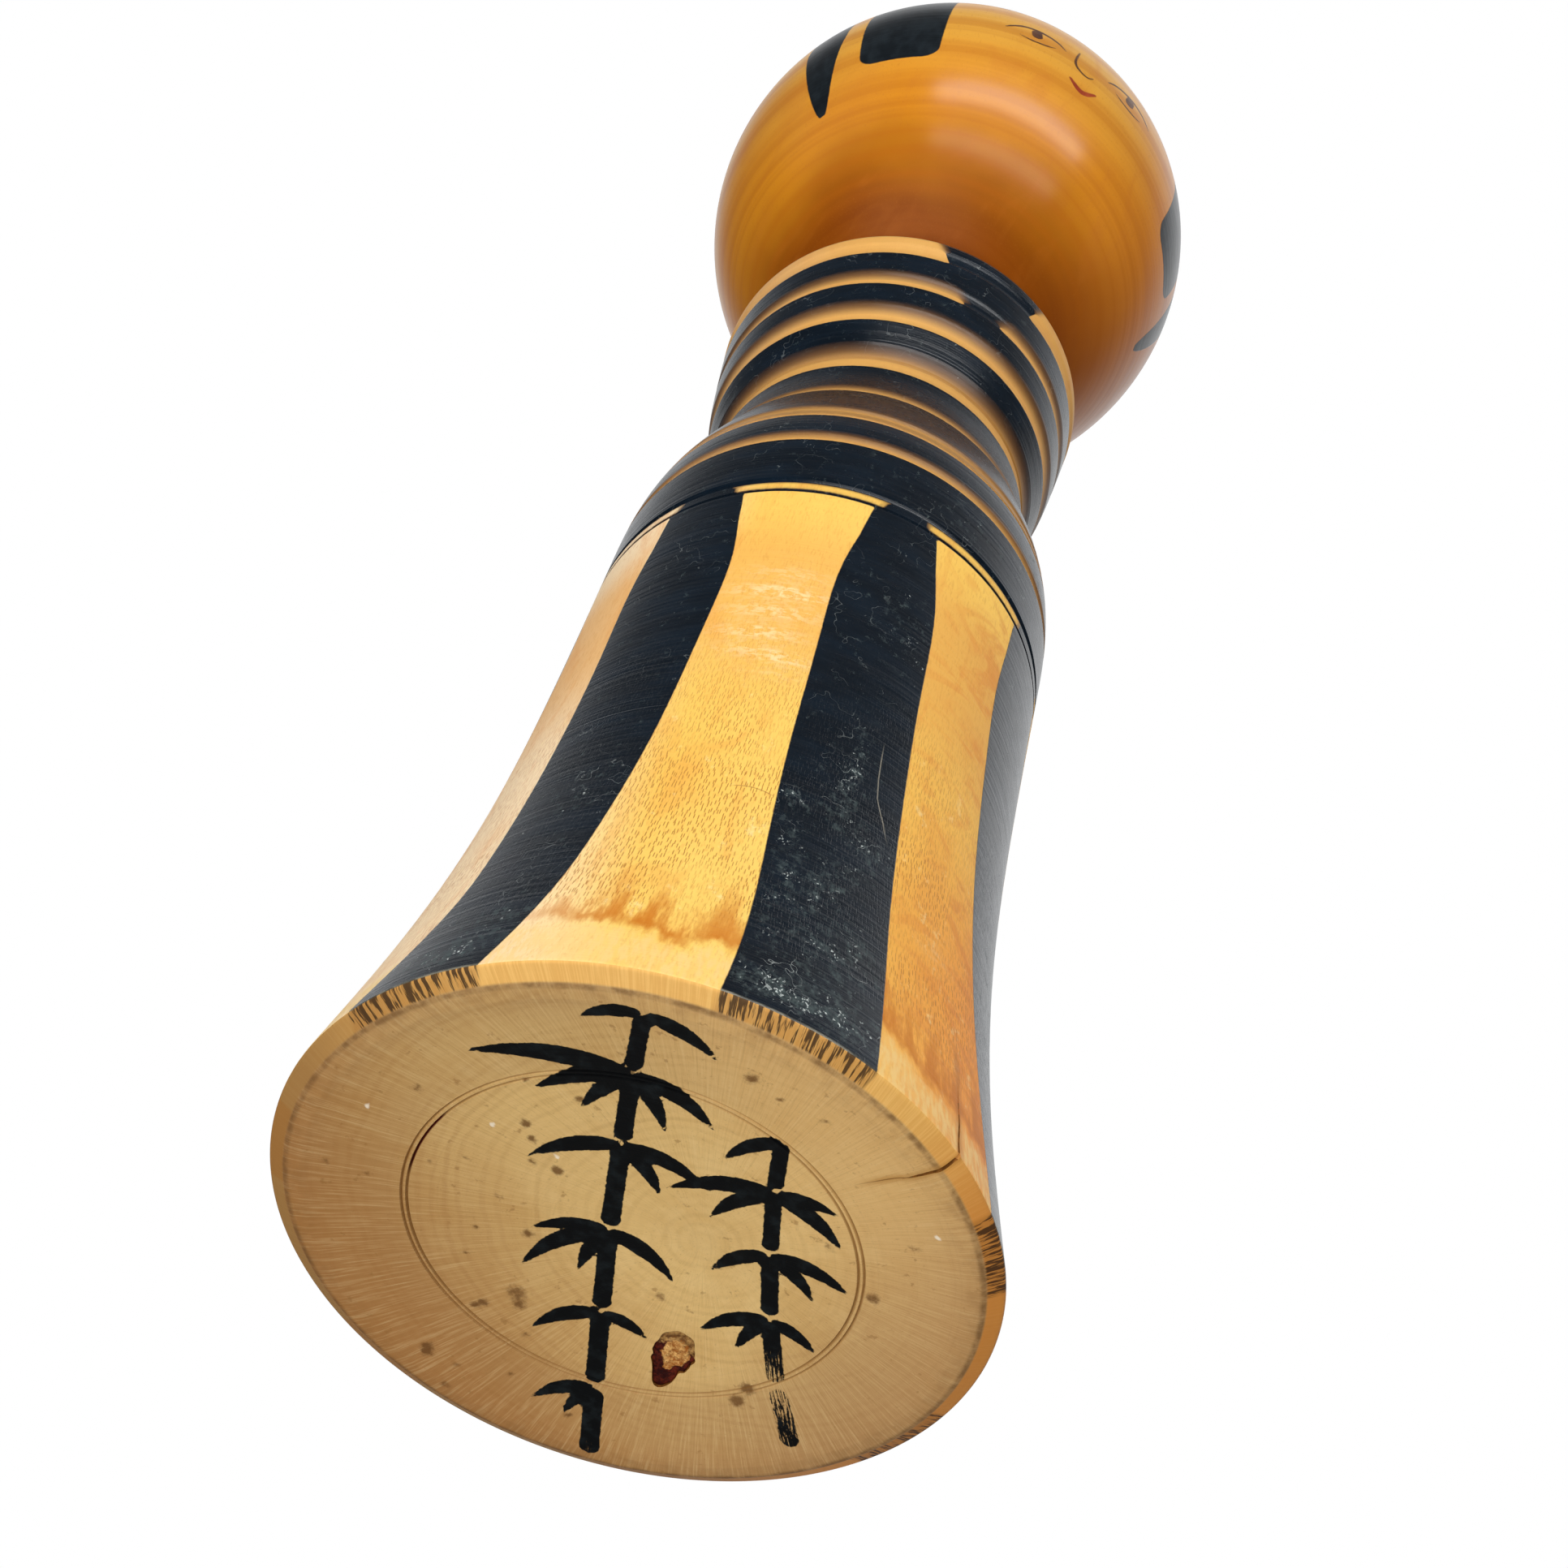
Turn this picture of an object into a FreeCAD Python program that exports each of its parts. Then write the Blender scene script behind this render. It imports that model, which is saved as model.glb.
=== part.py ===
import FreeCAD, Part
import math
import os

# A turned wooden doll: a waisted body with a flared foot, a round head whose tenon turns in the
# body's socket, and the dead knot that sits loose in the grain of the foot.
# Millimetres. +Z is up, the origin is the centre of the foot's flat face, and the face looks along -Y.

Vector = FreeCAD.Vector

# driving dimensions
TOTAL_HEIGHT = 240.0
FOOT_RADIUS = 32.5
FOOT_CHAMFER_WIDTH = 1.8
FOOT_CHAMFER_HEIGHT = 0.9
STANDING_RING_WIDTH = 1.4     # the foot is cut slightly hollow, so that it stands on its edge
HOLLOW_DEPTH = 2.2            # at the middle of the foot
RIM_HEIGHT = 154.0            # upper edge of the chest, where the shoulder turns inwards
RIM_RADIUS = 24.3
HEAD_RADIUS = 35.5
HEAD_CROWN_FLATTENING = 0.976  # half-height of the crown over the head's radius
TENON_RADIUS = 10.0
TENON_LENGTH = 22.0
RUNNING_CLEARANCE = 0.05      # radial, between tenon and socket
NECK_GAP = 0.2                # between the neck's end and the body's top face

# worked out from them
STANDING_RADIUS = FOOT_RADIUS - FOOT_CHAMFER_WIDTH
HOLLOW_RADIUS = STANDING_RADIUS - STANDING_RING_WIDTH
HOLLOW_SPHERE = (HOLLOW_RADIUS ** 2 + HOLLOW_DEPTH ** 2) / (2 * HOLLOW_DEPTH)
HEAD_CENTRE = TOTAL_HEIGHT - HEAD_RADIUS * HEAD_CROWN_FLATTENING
NECK_RADIUS = 0.53 * RIM_RADIUS
NECK_BOTTOM = HEAD_CENTRE - HEAD_RADIUS - 2.0
BODY_TOP = NECK_BOTTOM - NECK_GAP
NECK_FILLET = 2.4
SOCKET_DEPTH = TENON_LENGTH + 1.0
TENON_CHAMFER = 1.0

# the turned wall from the foot to the rim: (height, radius)
WALL_STATIONS = [
    (FOOT_CHAMFER_HEIGHT, FOOT_RADIUS),
    (16.0, 29.6),
    (40.0, 26.75),
    (66.0, 25.95),
    (92.0, 26.0),
    (102.5, 25.6),
    (110.0, 24.0),
    (116.5, 21.9),
    (122.5, 20.5),
    (128.5, 20.4),
    (135.0, 22.1),
    (142.0, 23.2),
    (RIM_HEIGHT, RIM_RADIUS),
]

# lathe-cut rings round the wall: (middle height, width, depth, how far below the wall the cut starts)
WALL_RINGS = [
    (85.5, 0.5, 0.25, 0),      # fine cut and cove with a bead between them, above the striped skirt
    (87.6, 1.2, 0.35, 0),
    (97.4, 1.6, 0.30, 0),      # shoulder line
    (103.5, 0.6, 0.20, 0),     # below the waist
    (105.4, 1.4, 0.25, 0),
    (117.0, 2.4, 0.30, 0),     # waist
    (128.4, 5.0, 0.50, 0),     # broad cove with a fine cut in its middle
    (128.6, 0.5, 0.25, 0.45),
    (136.4, 3.2, 0.40, 0),     # chest coves
    (144.1, 2.8, 0.35, 0),
    (151.6, 2.6, 0.30, 0),
]

# pair of fine cuts turned into the foot's hollow: (radius, width, depth)
FOOT_RINGS = [
    (20.0, 0.30, 0.25),
    (20.5, 0.30, 0.25),
]

# the dead knot in the foot's face
KNOT_PLACE = (10.9, 10.9)     # x, y of its middle
KNOT_HALF_LENGTH = 3.9
KNOT_HALF_WIDTH = 2.0
KNOT_TOP = 7.0                # height above the table that it reaches into the wood
KNOT_DIRECTION = 75.5         # degrees about +Z from +X that its length points
BARK_GAP = 0.08               # decayed bark between knot and wood

# the drying crack that opens at the foot's edge
CRACK_DIRECTION = -64.3       # degrees about +Z from +X, at the foot's edge
CRACK_LEAN = 2.6              # degrees that its upper end is turned, along the grain
CRACK_DEPTH = 5.5             # into the foot from its edge
CRACK_WIDTH = 0.45            # at the foot's edge
CRACK_HEIGHT = 14.0


def at(radius, height):
    """A point of an outline in the XZ half-plane."""
    return Vector(radius, 0, height)


def polar(radius, degrees, height):
    """A point at a distance and direction from the body's axis."""
    angle = math.radians(degrees)
    return Vector(radius * math.cos(angle), radius * math.sin(angle), height)


def line(start, end):
    return Part.LineSegment(start, end).toShape()


def arc(start, middle, end):
    return Part.Arc(start, middle, end).toShape()


def turned(edges):
    """The solid that a closed outline sweeps in one turn about +Z."""
    face = Part.Face(Part.Wire(edges))
    return face.revolve(Vector(0, 0, 0), Vector(0, 0, 1), 360)


def wall_edge():
    """The smooth curve of the wall, through its stations."""
    curve = Part.BSplineCurve()
    curve.interpolate([at(radius, height) for height, radius in WALL_STATIONS])
    return curve.toShape()


def wall_radius(height):
    """Radius of the wall at a height, where a level line meets its curve."""
    level = line(at(0, height), at(FOOT_RADIUS + 5, height))
    nearest = wall_edge().distToShape(level)[1][0][0]
    return nearest.x


def hollow_height(radius):
    """Height of the foot's hollow above the table: a shallow dome from the standing ring inwards."""
    return HOLLOW_DEPTH - HOLLOW_SPHERE + math.sqrt(HOLLOW_SPHERE ** 2 - radius ** 2)


def wall_ring(height, width, depth, start):
    """Cutting tool for a ring in the wall: a shallow cove between two heights."""
    low = at(wall_radius(height - width / 2) - start, height - width / 2)
    high = at(wall_radius(height + width / 2) - start, height + width / 2)
    floor = at(wall_radius(height) - start - depth, height)
    clear = Vector(2, 0, 0)
    return turned([
        arc(low, floor, high),
        line(high, high + clear),
        line(high + clear, low + clear),
        line(low + clear, low),
    ])


def foot_ring(radius, width, depth):
    """Cutting tool for a fine V-shaped ring in the foot's hollow."""
    inner = at(radius - width / 2, hollow_height(radius - width / 2))
    outer = at(radius + width / 2, hollow_height(radius + width / 2))
    floor = at(radius, hollow_height(radius) + depth)
    below = Vector(0, 0, -1)
    return turned([
        line(inner, floor),
        line(floor, outer),
        line(outer, outer + below),
        line(outer + below, inner + below),
        line(inner + below, inner),
    ])


def crack_tool():
    """A thin wedge, widest at the foot's edge, that closes inwards and up the wall."""
    half_angle = math.degrees(CRACK_WIDTH / 2 / FOOT_RADIUS)
    outside = FOOT_RADIUS + 1
    start = polar(FOOT_RADIUS - CRACK_DEPTH, CRACK_DIRECTION, -0.5)
    left = polar(outside, CRACK_DIRECTION - half_angle, -0.5)
    right = polar(outside, CRACK_DIRECTION + half_angle, -0.5)
    tip_radius = wall_radius(CRACK_HEIGHT) + 0.1
    tip = polar(tip_radius, CRACK_DIRECTION + CRACK_LEAN, CRACK_HEIGHT)
    sides = [(start, left, right), (start, left, tip), (left, right, tip), (right, start, tip)]
    faces = [Part.Face(Part.makePolygon([a, b, c, a])) for a, b, c in sides]
    return Part.Solid(Part.Shell(faces))


def knot_block(clearance):
    """An upright oval block at the knot's place, smaller all round by the clearance."""
    oval = Part.Ellipse(Vector(0, 0, 0), KNOT_HALF_LENGTH - clearance, KNOT_HALF_WIDTH - clearance)
    face = Part.Face(Part.Wire([oval.toShape()]))
    block = face.extrude(Vector(0, 0, KNOT_TOP - clearance))
    block.rotate(Vector(0, 0, 0), Vector(0, 0, 1), KNOT_DIRECTION)
    block.translate(Vector(*KNOT_PLACE, 0))
    return block


def make_turned_body():
    """The plain turning: chamfered and hollowed foot, waisted wall, domed shoulder, blind socket."""
    hollow_edge = at(HOLLOW_RADIUS, 0)
    hollow_half_way = at(HOLLOW_RADIUS / 2, hollow_height(HOLLOW_RADIUS / 2))
    hollow_middle = at(0, HOLLOW_DEPTH)
    standing_edge = at(STANDING_RADIUS, 0)
    foot_edge = at(FOOT_RADIUS, FOOT_CHAMFER_HEIGHT)
    rim = at(RIM_RADIUS, RIM_HEIGHT)
    rim_round_end = at(RIM_RADIUS - 1.3, RIM_HEIGHT + 1.7)
    shoulder_end = at(NECK_RADIUS + 0.8, BODY_TOP)
    shoulder_middle = (rim_round_end + shoulder_end) * 0.5 + Vector(1.3, 0, 1.3)
    socket_radius = TENON_RADIUS + RUNNING_CLEARANCE
    socket_mouth = at(socket_radius, BODY_TOP)
    socket_corner = at(socket_radius, BODY_TOP - SOCKET_DEPTH)
    socket_floor = at(0, BODY_TOP - SOCKET_DEPTH)
    return turned([
        arc(hollow_middle, hollow_half_way, hollow_edge),
        line(hollow_edge, standing_edge),
        line(standing_edge, foot_edge),
        wall_edge(),
        arc(rim, at(RIM_RADIUS - 0.25, RIM_HEIGHT + 1.0), rim_round_end),
        arc(rim_round_end, shoulder_middle, shoulder_end),
        line(shoulder_end, socket_mouth),
        line(socket_mouth, socket_corner),
        line(socket_corner, socket_floor),
        line(socket_floor, hollow_middle),
    ])


def make_body(turned_body):
    """The turning with its rings, the crack at the foot's edge, and the pocket of the knot."""
    body = turned_body
    cuts = [wall_ring(*ring) for ring in WALL_RINGS]
    cuts += [foot_ring(*ring) for ring in FOOT_RINGS]
    cuts += [crack_tool(), knot_block(0)]
    for cut in cuts:
        body = body.cut(cut)
    return body


def make_head():
    """One turning: a near-round ball, a short neck, and the tenon that turns in the socket."""
    crown_half_height = HEAD_RADIUS * HEAD_CROWN_FLATTENING
    crown_shape = Part.Ellipse(at(HEAD_RADIUS, HEAD_CENTRE), at(0, HEAD_CENTRE + crown_half_height),
                               at(0, HEAD_CENTRE))
    # the head's widest ring joins the flattened crown to the round lower half
    crown = crown_shape.toBSpline(0, math.pi / 2).toShape()
    crown_top = at(0, TOTAL_HEIGHT)
    widest = at(HEAD_RADIUS, HEAD_CENTRE)
    # the neck's fillet touches the ball from outside and the neck's straight side
    fillet_centre_radius = NECK_RADIUS + NECK_FILLET
    reach = HEAD_RADIUS + NECK_FILLET
    fillet_centre = at(fillet_centre_radius, HEAD_CENTRE - math.sqrt(reach ** 2 - fillet_centre_radius ** 2))
    towards_head = at(0, HEAD_CENTRE) - fillet_centre
    towards_head.normalize()
    on_head = fillet_centre + towards_head * NECK_FILLET
    on_neck = fillet_centre - Vector(NECK_FILLET, 0, 0)
    between = towards_head + Vector(-1, 0, 0)
    between.normalize()
    half_way_down = (widest - at(0, HEAD_CENTRE)) + (on_head - at(0, HEAD_CENTRE))
    half_way_down.normalize()
    tenon_end = NECK_BOTTOM - TENON_LENGTH
    return turned([
        crown,
        arc(widest, at(0, HEAD_CENTRE) + half_way_down * HEAD_RADIUS, on_head),
        arc(on_head, fillet_centre + between * NECK_FILLET, on_neck),
        line(on_neck, at(NECK_RADIUS, NECK_BOTTOM)),
        line(at(NECK_RADIUS, NECK_BOTTOM), at(TENON_RADIUS, NECK_BOTTOM)),
        line(at(TENON_RADIUS, NECK_BOTTOM), at(TENON_RADIUS, tenon_end + TENON_CHAMFER)),
        line(at(TENON_RADIUS, tenon_end + TENON_CHAMFER), at(TENON_RADIUS - TENON_CHAMFER, tenon_end)),
        line(at(TENON_RADIUS - TENON_CHAMFER, tenon_end), at(0, tenon_end)),
        line(at(0, tenon_end), crown_top),
    ])


def make_base_knot(turned_body):
    """The small dead knot, worn level with the foot's hollow."""
    return turned_body.common(knot_block(BARK_GAP))


def main():
    os.makedirs("parts", exist_ok=True)
    turned_body = make_turned_body()
    pieces = {
        "body": make_body(turned_body),
        "head": make_head(),
        "base_knot": make_base_knot(turned_body),
    }
    for node, shape in pieces.items():
        shape.exportStep(f"parts/{node}.step")
        box = shape.BoundBox
        print(node, shape.isValid(), len(shape.Solids), round(shape.Volume, 1),
              [round(side, 2) for side in (box.XMin, box.YMin, box.ZMin, box.XMax, box.YMax, box.ZMax)])


main()
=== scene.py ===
import bpy
import math
import numpy as np
from mathutils import Matrix, Vector, noise as random_field


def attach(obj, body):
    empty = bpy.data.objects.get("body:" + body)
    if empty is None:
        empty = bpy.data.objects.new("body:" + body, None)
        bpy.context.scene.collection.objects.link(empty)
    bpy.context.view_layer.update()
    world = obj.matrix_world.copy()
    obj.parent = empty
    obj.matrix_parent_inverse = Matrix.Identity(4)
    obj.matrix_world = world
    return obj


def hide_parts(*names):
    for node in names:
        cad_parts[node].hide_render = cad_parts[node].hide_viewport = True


# The looks of a turned and painted wooden doll: its body, its turning head, and the dead knot
# in the end grain of its foot. Lengths are in millimetres until a mesh is made from them.
# A direction round the doll is in degrees from its front, which is -Y, and grows towards +X.

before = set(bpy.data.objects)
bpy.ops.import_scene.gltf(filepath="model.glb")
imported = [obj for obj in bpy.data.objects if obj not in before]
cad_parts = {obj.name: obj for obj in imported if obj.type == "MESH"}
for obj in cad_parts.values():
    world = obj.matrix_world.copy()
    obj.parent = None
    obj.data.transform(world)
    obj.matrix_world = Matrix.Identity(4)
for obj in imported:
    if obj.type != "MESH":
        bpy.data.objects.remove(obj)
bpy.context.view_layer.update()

MM = 0.001
SHARP_ANGLE = math.radians(33)    # edges sharper than this aren't smoothed

# ---------------------------------------------------------------- sizes shared with the CAD part
TOTAL_HEIGHT = 240.0
FOOT_RADIUS = 32.5
CHAMFER_HEIGHT = 0.9
STANDING_RADIUS = 30.7
HOLLOW_RADIUS = 29.3
HOLLOW_DEPTH = 2.2
HOLLOW_SPHERE = (HOLLOW_RADIUS ** 2 + HOLLOW_DEPTH ** 2) / (2 * HOLLOW_DEPTH)
RIM_HEIGHT = 154.0
RIM_RADIUS = 24.3
HEAD_RADIUS = 35.5
CROWN_HEIGHT = 0.976 * HEAD_RADIUS
HEAD_CENTRE = TOTAL_HEIGHT - CROWN_HEIGHT
NECK_RADIUS = 0.53 * RIM_RADIUS
NECK_BOTTOM = HEAD_CENTRE - HEAD_RADIUS - 2.0
NECK_FILLET = 2.4
BODY_TOP = NECK_BOTTOM - 0.2
TENON_RADIUS = 10.0
TENON_END = NECK_BOTTOM - 22.0
SOCKET_RADIUS = 10.05
SOCKET_FLOOR = BODY_TOP - 23.0

# the turned wall: (height, radius)
WALL_STATIONS = [
    (0.9, 32.5), (16.0, 29.6), (40.0, 26.75), (66.0, 25.95), (92.0, 26.0), (102.5, 25.6), (110.0, 24.0),
    (116.5, 21.9), (122.5, 20.5), (128.5, 20.4), (135.0, 22.1), (142.0, 23.2), (154.0, 24.3),
]
# rings cut into the wall: (middle height, width, depth, how far below the wall the cut starts)
WALL_RINGS = [
    (85.5, 0.5, 0.25, 0), (87.6, 1.2, 0.35, 0), (97.4, 1.6, 0.30, 0), (103.5, 0.6, 0.20, 0),
    (105.4, 1.4, 0.25, 0), (117.0, 2.4, 0.30, 0), (128.4, 5.0, 0.50, 0), (128.6, 0.5, 0.25, 0.45),
    (136.4, 3.2, 0.40, 0), (144.1, 2.8, 0.35, 0), (151.6, 2.6, 0.30, 0),
]
FOOT_RINGS = [20.0, 20.5]
FOOT_RING_WIDTH = 0.3
FOOT_RING_DEPTH = 0.25

KNOT_PLACE = (10.9, 10.9)
KNOT_DIRECTION = 75.5         # degrees about +Z from +X that its tail points
KNOT_HALF_LENGTH = 3.75
KNOT_HALF_WIDTH = 1.85
KNOT_TOP = 6.5
CRACK_DIRECTION = 25.7        # from the front
CRACK_TOP = 14.0
CRACK_REACH = 5.6             # how far in from the foot's edge it starts
CRACK_DRIFT = 0.63            # how far it drifts sideways along its whole way
CRACK_FOOT_SHARE = 0.4        # the share of its way that lies across the foot
CRACK_PROUD = 0.7             # how far its cutting tool stands out of the surface

# ---------------------------------------------------------------- paint on the body
# bare wood panels up the skirt: (direction, lean in degrees per mm of height, width share,
# degrees that the foot end sways round, degrees that each side of the foot end widens)
PANELS = [
    (-32.2, 0.0, 1.0, -3.2, 1.2), (19.5, -0.11, 0.93, -2.0, 0.0), (71.0, 0.03, 1.0, 1.0, -0.5),
    (122.5, -0.04, 0.97, -1.0, 0.5), (173.5, 0.05, 1.0, 1.5, 0.0), (-135.0, -0.02, 1.0, -1.5, 0.5),
    (-83.5, 0.0, 0.95, -6.0, -4.0),
]
SWAY_HEIGHT = 20.0            # the sway and the widening have died out here
# half of a panel's width in degrees, by height
PANEL_WIDTHS = [
    (0.0, 16.5), (5.0, 16.3), (20.0, 15.3), (40.0, 13.6), (60.0, 12.7), (75.0, 13.2), (80.0, 14.7),
    (84.0, 15.6), (87.0, 16.8),
]
PANEL_TOP = 85.15
BEAD = (85.75, 87.0)          # bare bead above each panel
# bare rings on the black chest: (lower edge, upper edge, softness of the upper edge)
BARE_RINGS = [
    (96.7, 98.1, 1.2), (103.3, 103.9, 0.4), (104.6, 106.1, 1.3), (115.7, 117.9, 1.4), (125.8, 129.4, 2.0),
    (134.8, 137.4, 1.7), (142.6, 144.8, 1.6), (150.2, 154.9, 1.0), (156.4, 163.0, 0.5), (164.2, 175.0, 0.5),
]
SHARP = 0.07                  # softness of a cut paint edge
# the black patch at the throat
PATCH_MIDDLE = -1.0
PATCH_HALF_WIDTH = 7.5        # degrees, at PATCH_HEIGHT
PATCH_HEIGHT = 144.0
PATCH_SPREAD = 1.125          # degrees wider per mm of height
PATCH_TOP = 155.8
PATCH_CORNER = 1.0            # how round a ring's end is beside the patch

GIRTH = 27.0                  # the wall's radius for marks that are laid out round it
# a fine brown line in the front panel: way round in mm, height, half length
NICK = (-10.6, 32.0, 2.0)

# worn specks on the paint: (direction, height, reach round, reach up, strength)
SCUFFS = [
    (-6.0, 40.0, 1.6, 2.6, 0.9), (-4.5, 36.0, 1.8, 3.4, 0.8), (-2.5, 31.8, 2.2, 1.6, 1.0),
    (1.5, 28.5, 1.4, 2.4, 0.7), (-13.5, 32.0, 3.0, 1.4, 0.9), (-13.5, 28.0, 1.6, 1.8, 0.8),
    (-11.0, 21.0, 3.4, 3.6, 0.9), (-3.0, 24.0, 2.4, 3.0, 0.6), (4.0, 29.5, 2.2, 0.9, 0.7),
    (-11.0, 43.3, 4.0, 0.6, 0.8), (-4.2, 45.0, 1.0, 4.5, 0.7), (-9.0, 12.0, 5.0, 4.5, 0.7),
    (2.0, 14.0, 4.0, 5.0, 0.6), (-11.5, 4.0, 5.0, 3.0, 1.0), (-3.0, 3.6, 5.0, 2.2, 0.9),
    (3.0, 5.5, 3.0, 2.4, 0.8), (-58.0, 8.0, 6.0, 3.4, 0.9), (-62.0, 3.6, 6.0, 2.0, 0.9),
    (-55.0, 30.0, 4.0, 5.0, 0.5), (46.0, 30.0, 8.0, 12.0, 0.5), (95.0, 22.0, 7.0, 6.0, 0.7),
    (150.0, 36.0, 5.0, 8.0, 0.6), (-160.0, 12.0, 8.0, 5.0, 0.8), (-108.0, 40.0, 4.0, 7.0, 0.6),
    (8.0, 92.0, 6.0, 2.5, 0.5), (35.0, 100.0, 6.0, 4.0, 0.6), (-2.0, 66.0, 4.0, 7.0, 0.5),
]
# pale rubbed places on the bare panels
RUBS = [
    (-30.0, 65.0, 5.0, 4.0, 1.0), (-33.0, 57.0, 4.0, 3.5, 0.9), (-25.0, 53.0, 3.0, 2.0, 0.8),
    (20.0, 25.0, 2.0, 1.2, 0.5), (125.0, 50.0, 5.0, 6.0, 0.8), (-135.0, 60.0, 5.0, 5.0, 0.8),
]
RUB_SPACING = 3.8             # between the level rows of a rubbed place
# a fine curled scratch: (height, direction)
SCRATCH = [(34.6, 5.4), (35.1, 4.3), (36.2, 2.9), (37.8, 1.6), (40.0, 0.9), (43.0, 0.6), (46.2, 0.3)]

# ---------------------------------------------------------------- the foot
PITH = (4.9, -4.0)
# brown flecks in the end grain: (x, y, reach, strength)
FLECKS = [
    (-3.0, -25.0, 0.55, 0.8), (-13.0, -17.5, 0.35, 0.8), (-14.0, -6.0, 0.4, 1.0), (-12.6, -4.6, 0.35, 1.0),
    (-9.0, -2.5, 0.5, 0.9), (-11.2, -2.0, 0.3, 0.9), (-7.0, 6.5, 0.5, 0.7), (-4.0, 14.0, 1.0, 0.5),
    (-3.0, 15.2, 0.7, 0.5), (-7.0, 25.6, 0.5, 0.8), (19.0, -9.8, 0.6, 0.7), (18.0, 9.0, 0.6, 0.9),
    (18.2, 11.0, 0.7, 0.8), (6.0, 5.0, 0.5, 0.5), (12.8, -12.3, 0.3, 0.6), (-16.6, -11.0, 0.3, 0.6),
    (-15.8, 1.5, 0.3, 0.6), (4.0, -25.2, 0.35, 0.5), (0.0, -24.5, 0.3, 0.6), (15.0, -6.0, 0.3, 0.4),
    (-11.0, 9.0, 0.3, 0.6), (-18.0, 4.0, 0.3, 0.5), (-10.0, 12.4, 0.3, 0.7), (-6.2, 18.0, 0.35, 0.8),
    (-12.0, -12.0, 0.4, 0.7), (-13.4, -14.0, 0.35, 0.8), (-0.6, 18.3, 0.35, 0.6), (-23.2, -3.9, 0.45, 0.5),
    (-25.5, 9.6, 0.4, 0.6), (-21.7, 8.8, 0.3, 0.6), (-11.2, 4.0, 0.3, 0.6), (13.3, -11.9, 0.3, 0.5),
    (17.8, -18.0, 0.35, 0.6), (-5.7, 17.2, 0.5, 0.7), (-6.6, 26.3, 0.45, 0.9), (-3.7, 26.0, 0.35, 0.6),
    (-3.2, 28.9, 0.5, 0.5), (0.9, 23.7, 0.3, 0.6), (7.7, 24.5, 0.35, 0.7),
]
# small pale chips in the end grain, in the same way
CHIPS = [(-25.6, 0.8, 0.3, 1.0), (-16.0, -3.9, 0.3, 1.0), (18.0, -20.9, 0.3, 1.0), (-10.0, -4.1, 0.3, 1.0)]
RING_SPACING = 1.15           # between growth rings


def direction_of(x, y):
    """Degrees from the front of points beside the axis."""
    return np.degrees(np.arctan2(x, -y))


def turn_between(a, b):
    """Smallest turn from direction b to direction a, in degrees."""
    return (a - b + 180) % 360 - 180


def way_round(direction, start, radius):
    """The way from one direction round to another at a radius, in mm."""
    return turn_between(direction, start) * np.radians(1) * radius


def smooth_curve(stations):
    """The natural cubic curve through (position, value) stations, as a function of position."""
    place = np.array([s[0] for s in stations])
    value = np.array([s[1] for s in stations])
    gap = np.diff(place)
    slope = np.diff(value) / gap
    count = len(stations)
    system = np.eye(count)
    right = np.zeros(count)
    for i in range(1, count - 1):
        system[i, i - 1:i + 2] = gap[i - 1], 2 * (gap[i - 1] + gap[i]), gap[i]
        right[i] = 6 * (slope[i] - slope[i - 1])
    bend = np.linalg.solve(system, right)

    def curve(at):
        at = np.clip(np.asarray(at, float), place[0], place[-1])
        i = np.clip(np.searchsorted(place, at) - 1, 0, count - 2)
        before = at - place[i]
        after = place[i + 1] - at
        cubic = (bend[i] * after ** 3 + bend[i + 1] * before ** 3) / (6 * gap[i])
        low = value[i] / gap[i] - bend[i] * gap[i] / 6
        high = value[i + 1] / gap[i] - bend[i + 1] * gap[i] / 6
        return cubic + low * after + high * before

    return curve


wall_radius = smooth_curve(WALL_STATIONS)
panel_half_width = smooth_curve(PANEL_WIDTHS)


def hollow_height(radius):
    """Height of the foot's hollow above the table."""
    return HOLLOW_DEPTH - HOLLOW_SPHERE + np.sqrt(HOLLOW_SPHERE ** 2 - radius ** 2)


def ring_depth(height):
    """How far the turned rings cut below the wall at a height."""
    depth = 0.0
    for middle, width, deep, start in WALL_RINGS:
        share = (height - middle) * 2 / width
        if abs(share) < 1:
            depth = max(depth, start + deep * (1 - share ** 2))
    return depth


def wall_heights():
    """Heights of the mesh's rows up the wall, closer together where rings are cut."""
    rows = list(np.arange(CHAMFER_HEIGHT, 84.0, 2.9)) + list(np.arange(84.0, RIM_HEIGHT, 1.3))
    rows += [RIM_HEIGHT, PANEL_TOP - 0.4, PANEL_TOP - 0.08]
    for middle, width, _, _ in WALL_RINGS:
        rows = [h for h in rows if abs(h - middle) > width / 2 + 0.05]
    for middle, width, _, _ in WALL_RINGS:
        edge = 0.02
        shares = [-1 - edge, -1, -0.72, -0.36, 0, 0.36, 0.72, 1, 1 + edge]
        rows += [middle + share * width / 2 for share in shares]
    rows = sorted(rows)
    kept = rows[:1]
    for height in rows[1:]:
        if height - kept[-1] > 0.005:
            kept.append(height)
    return kept


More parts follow.
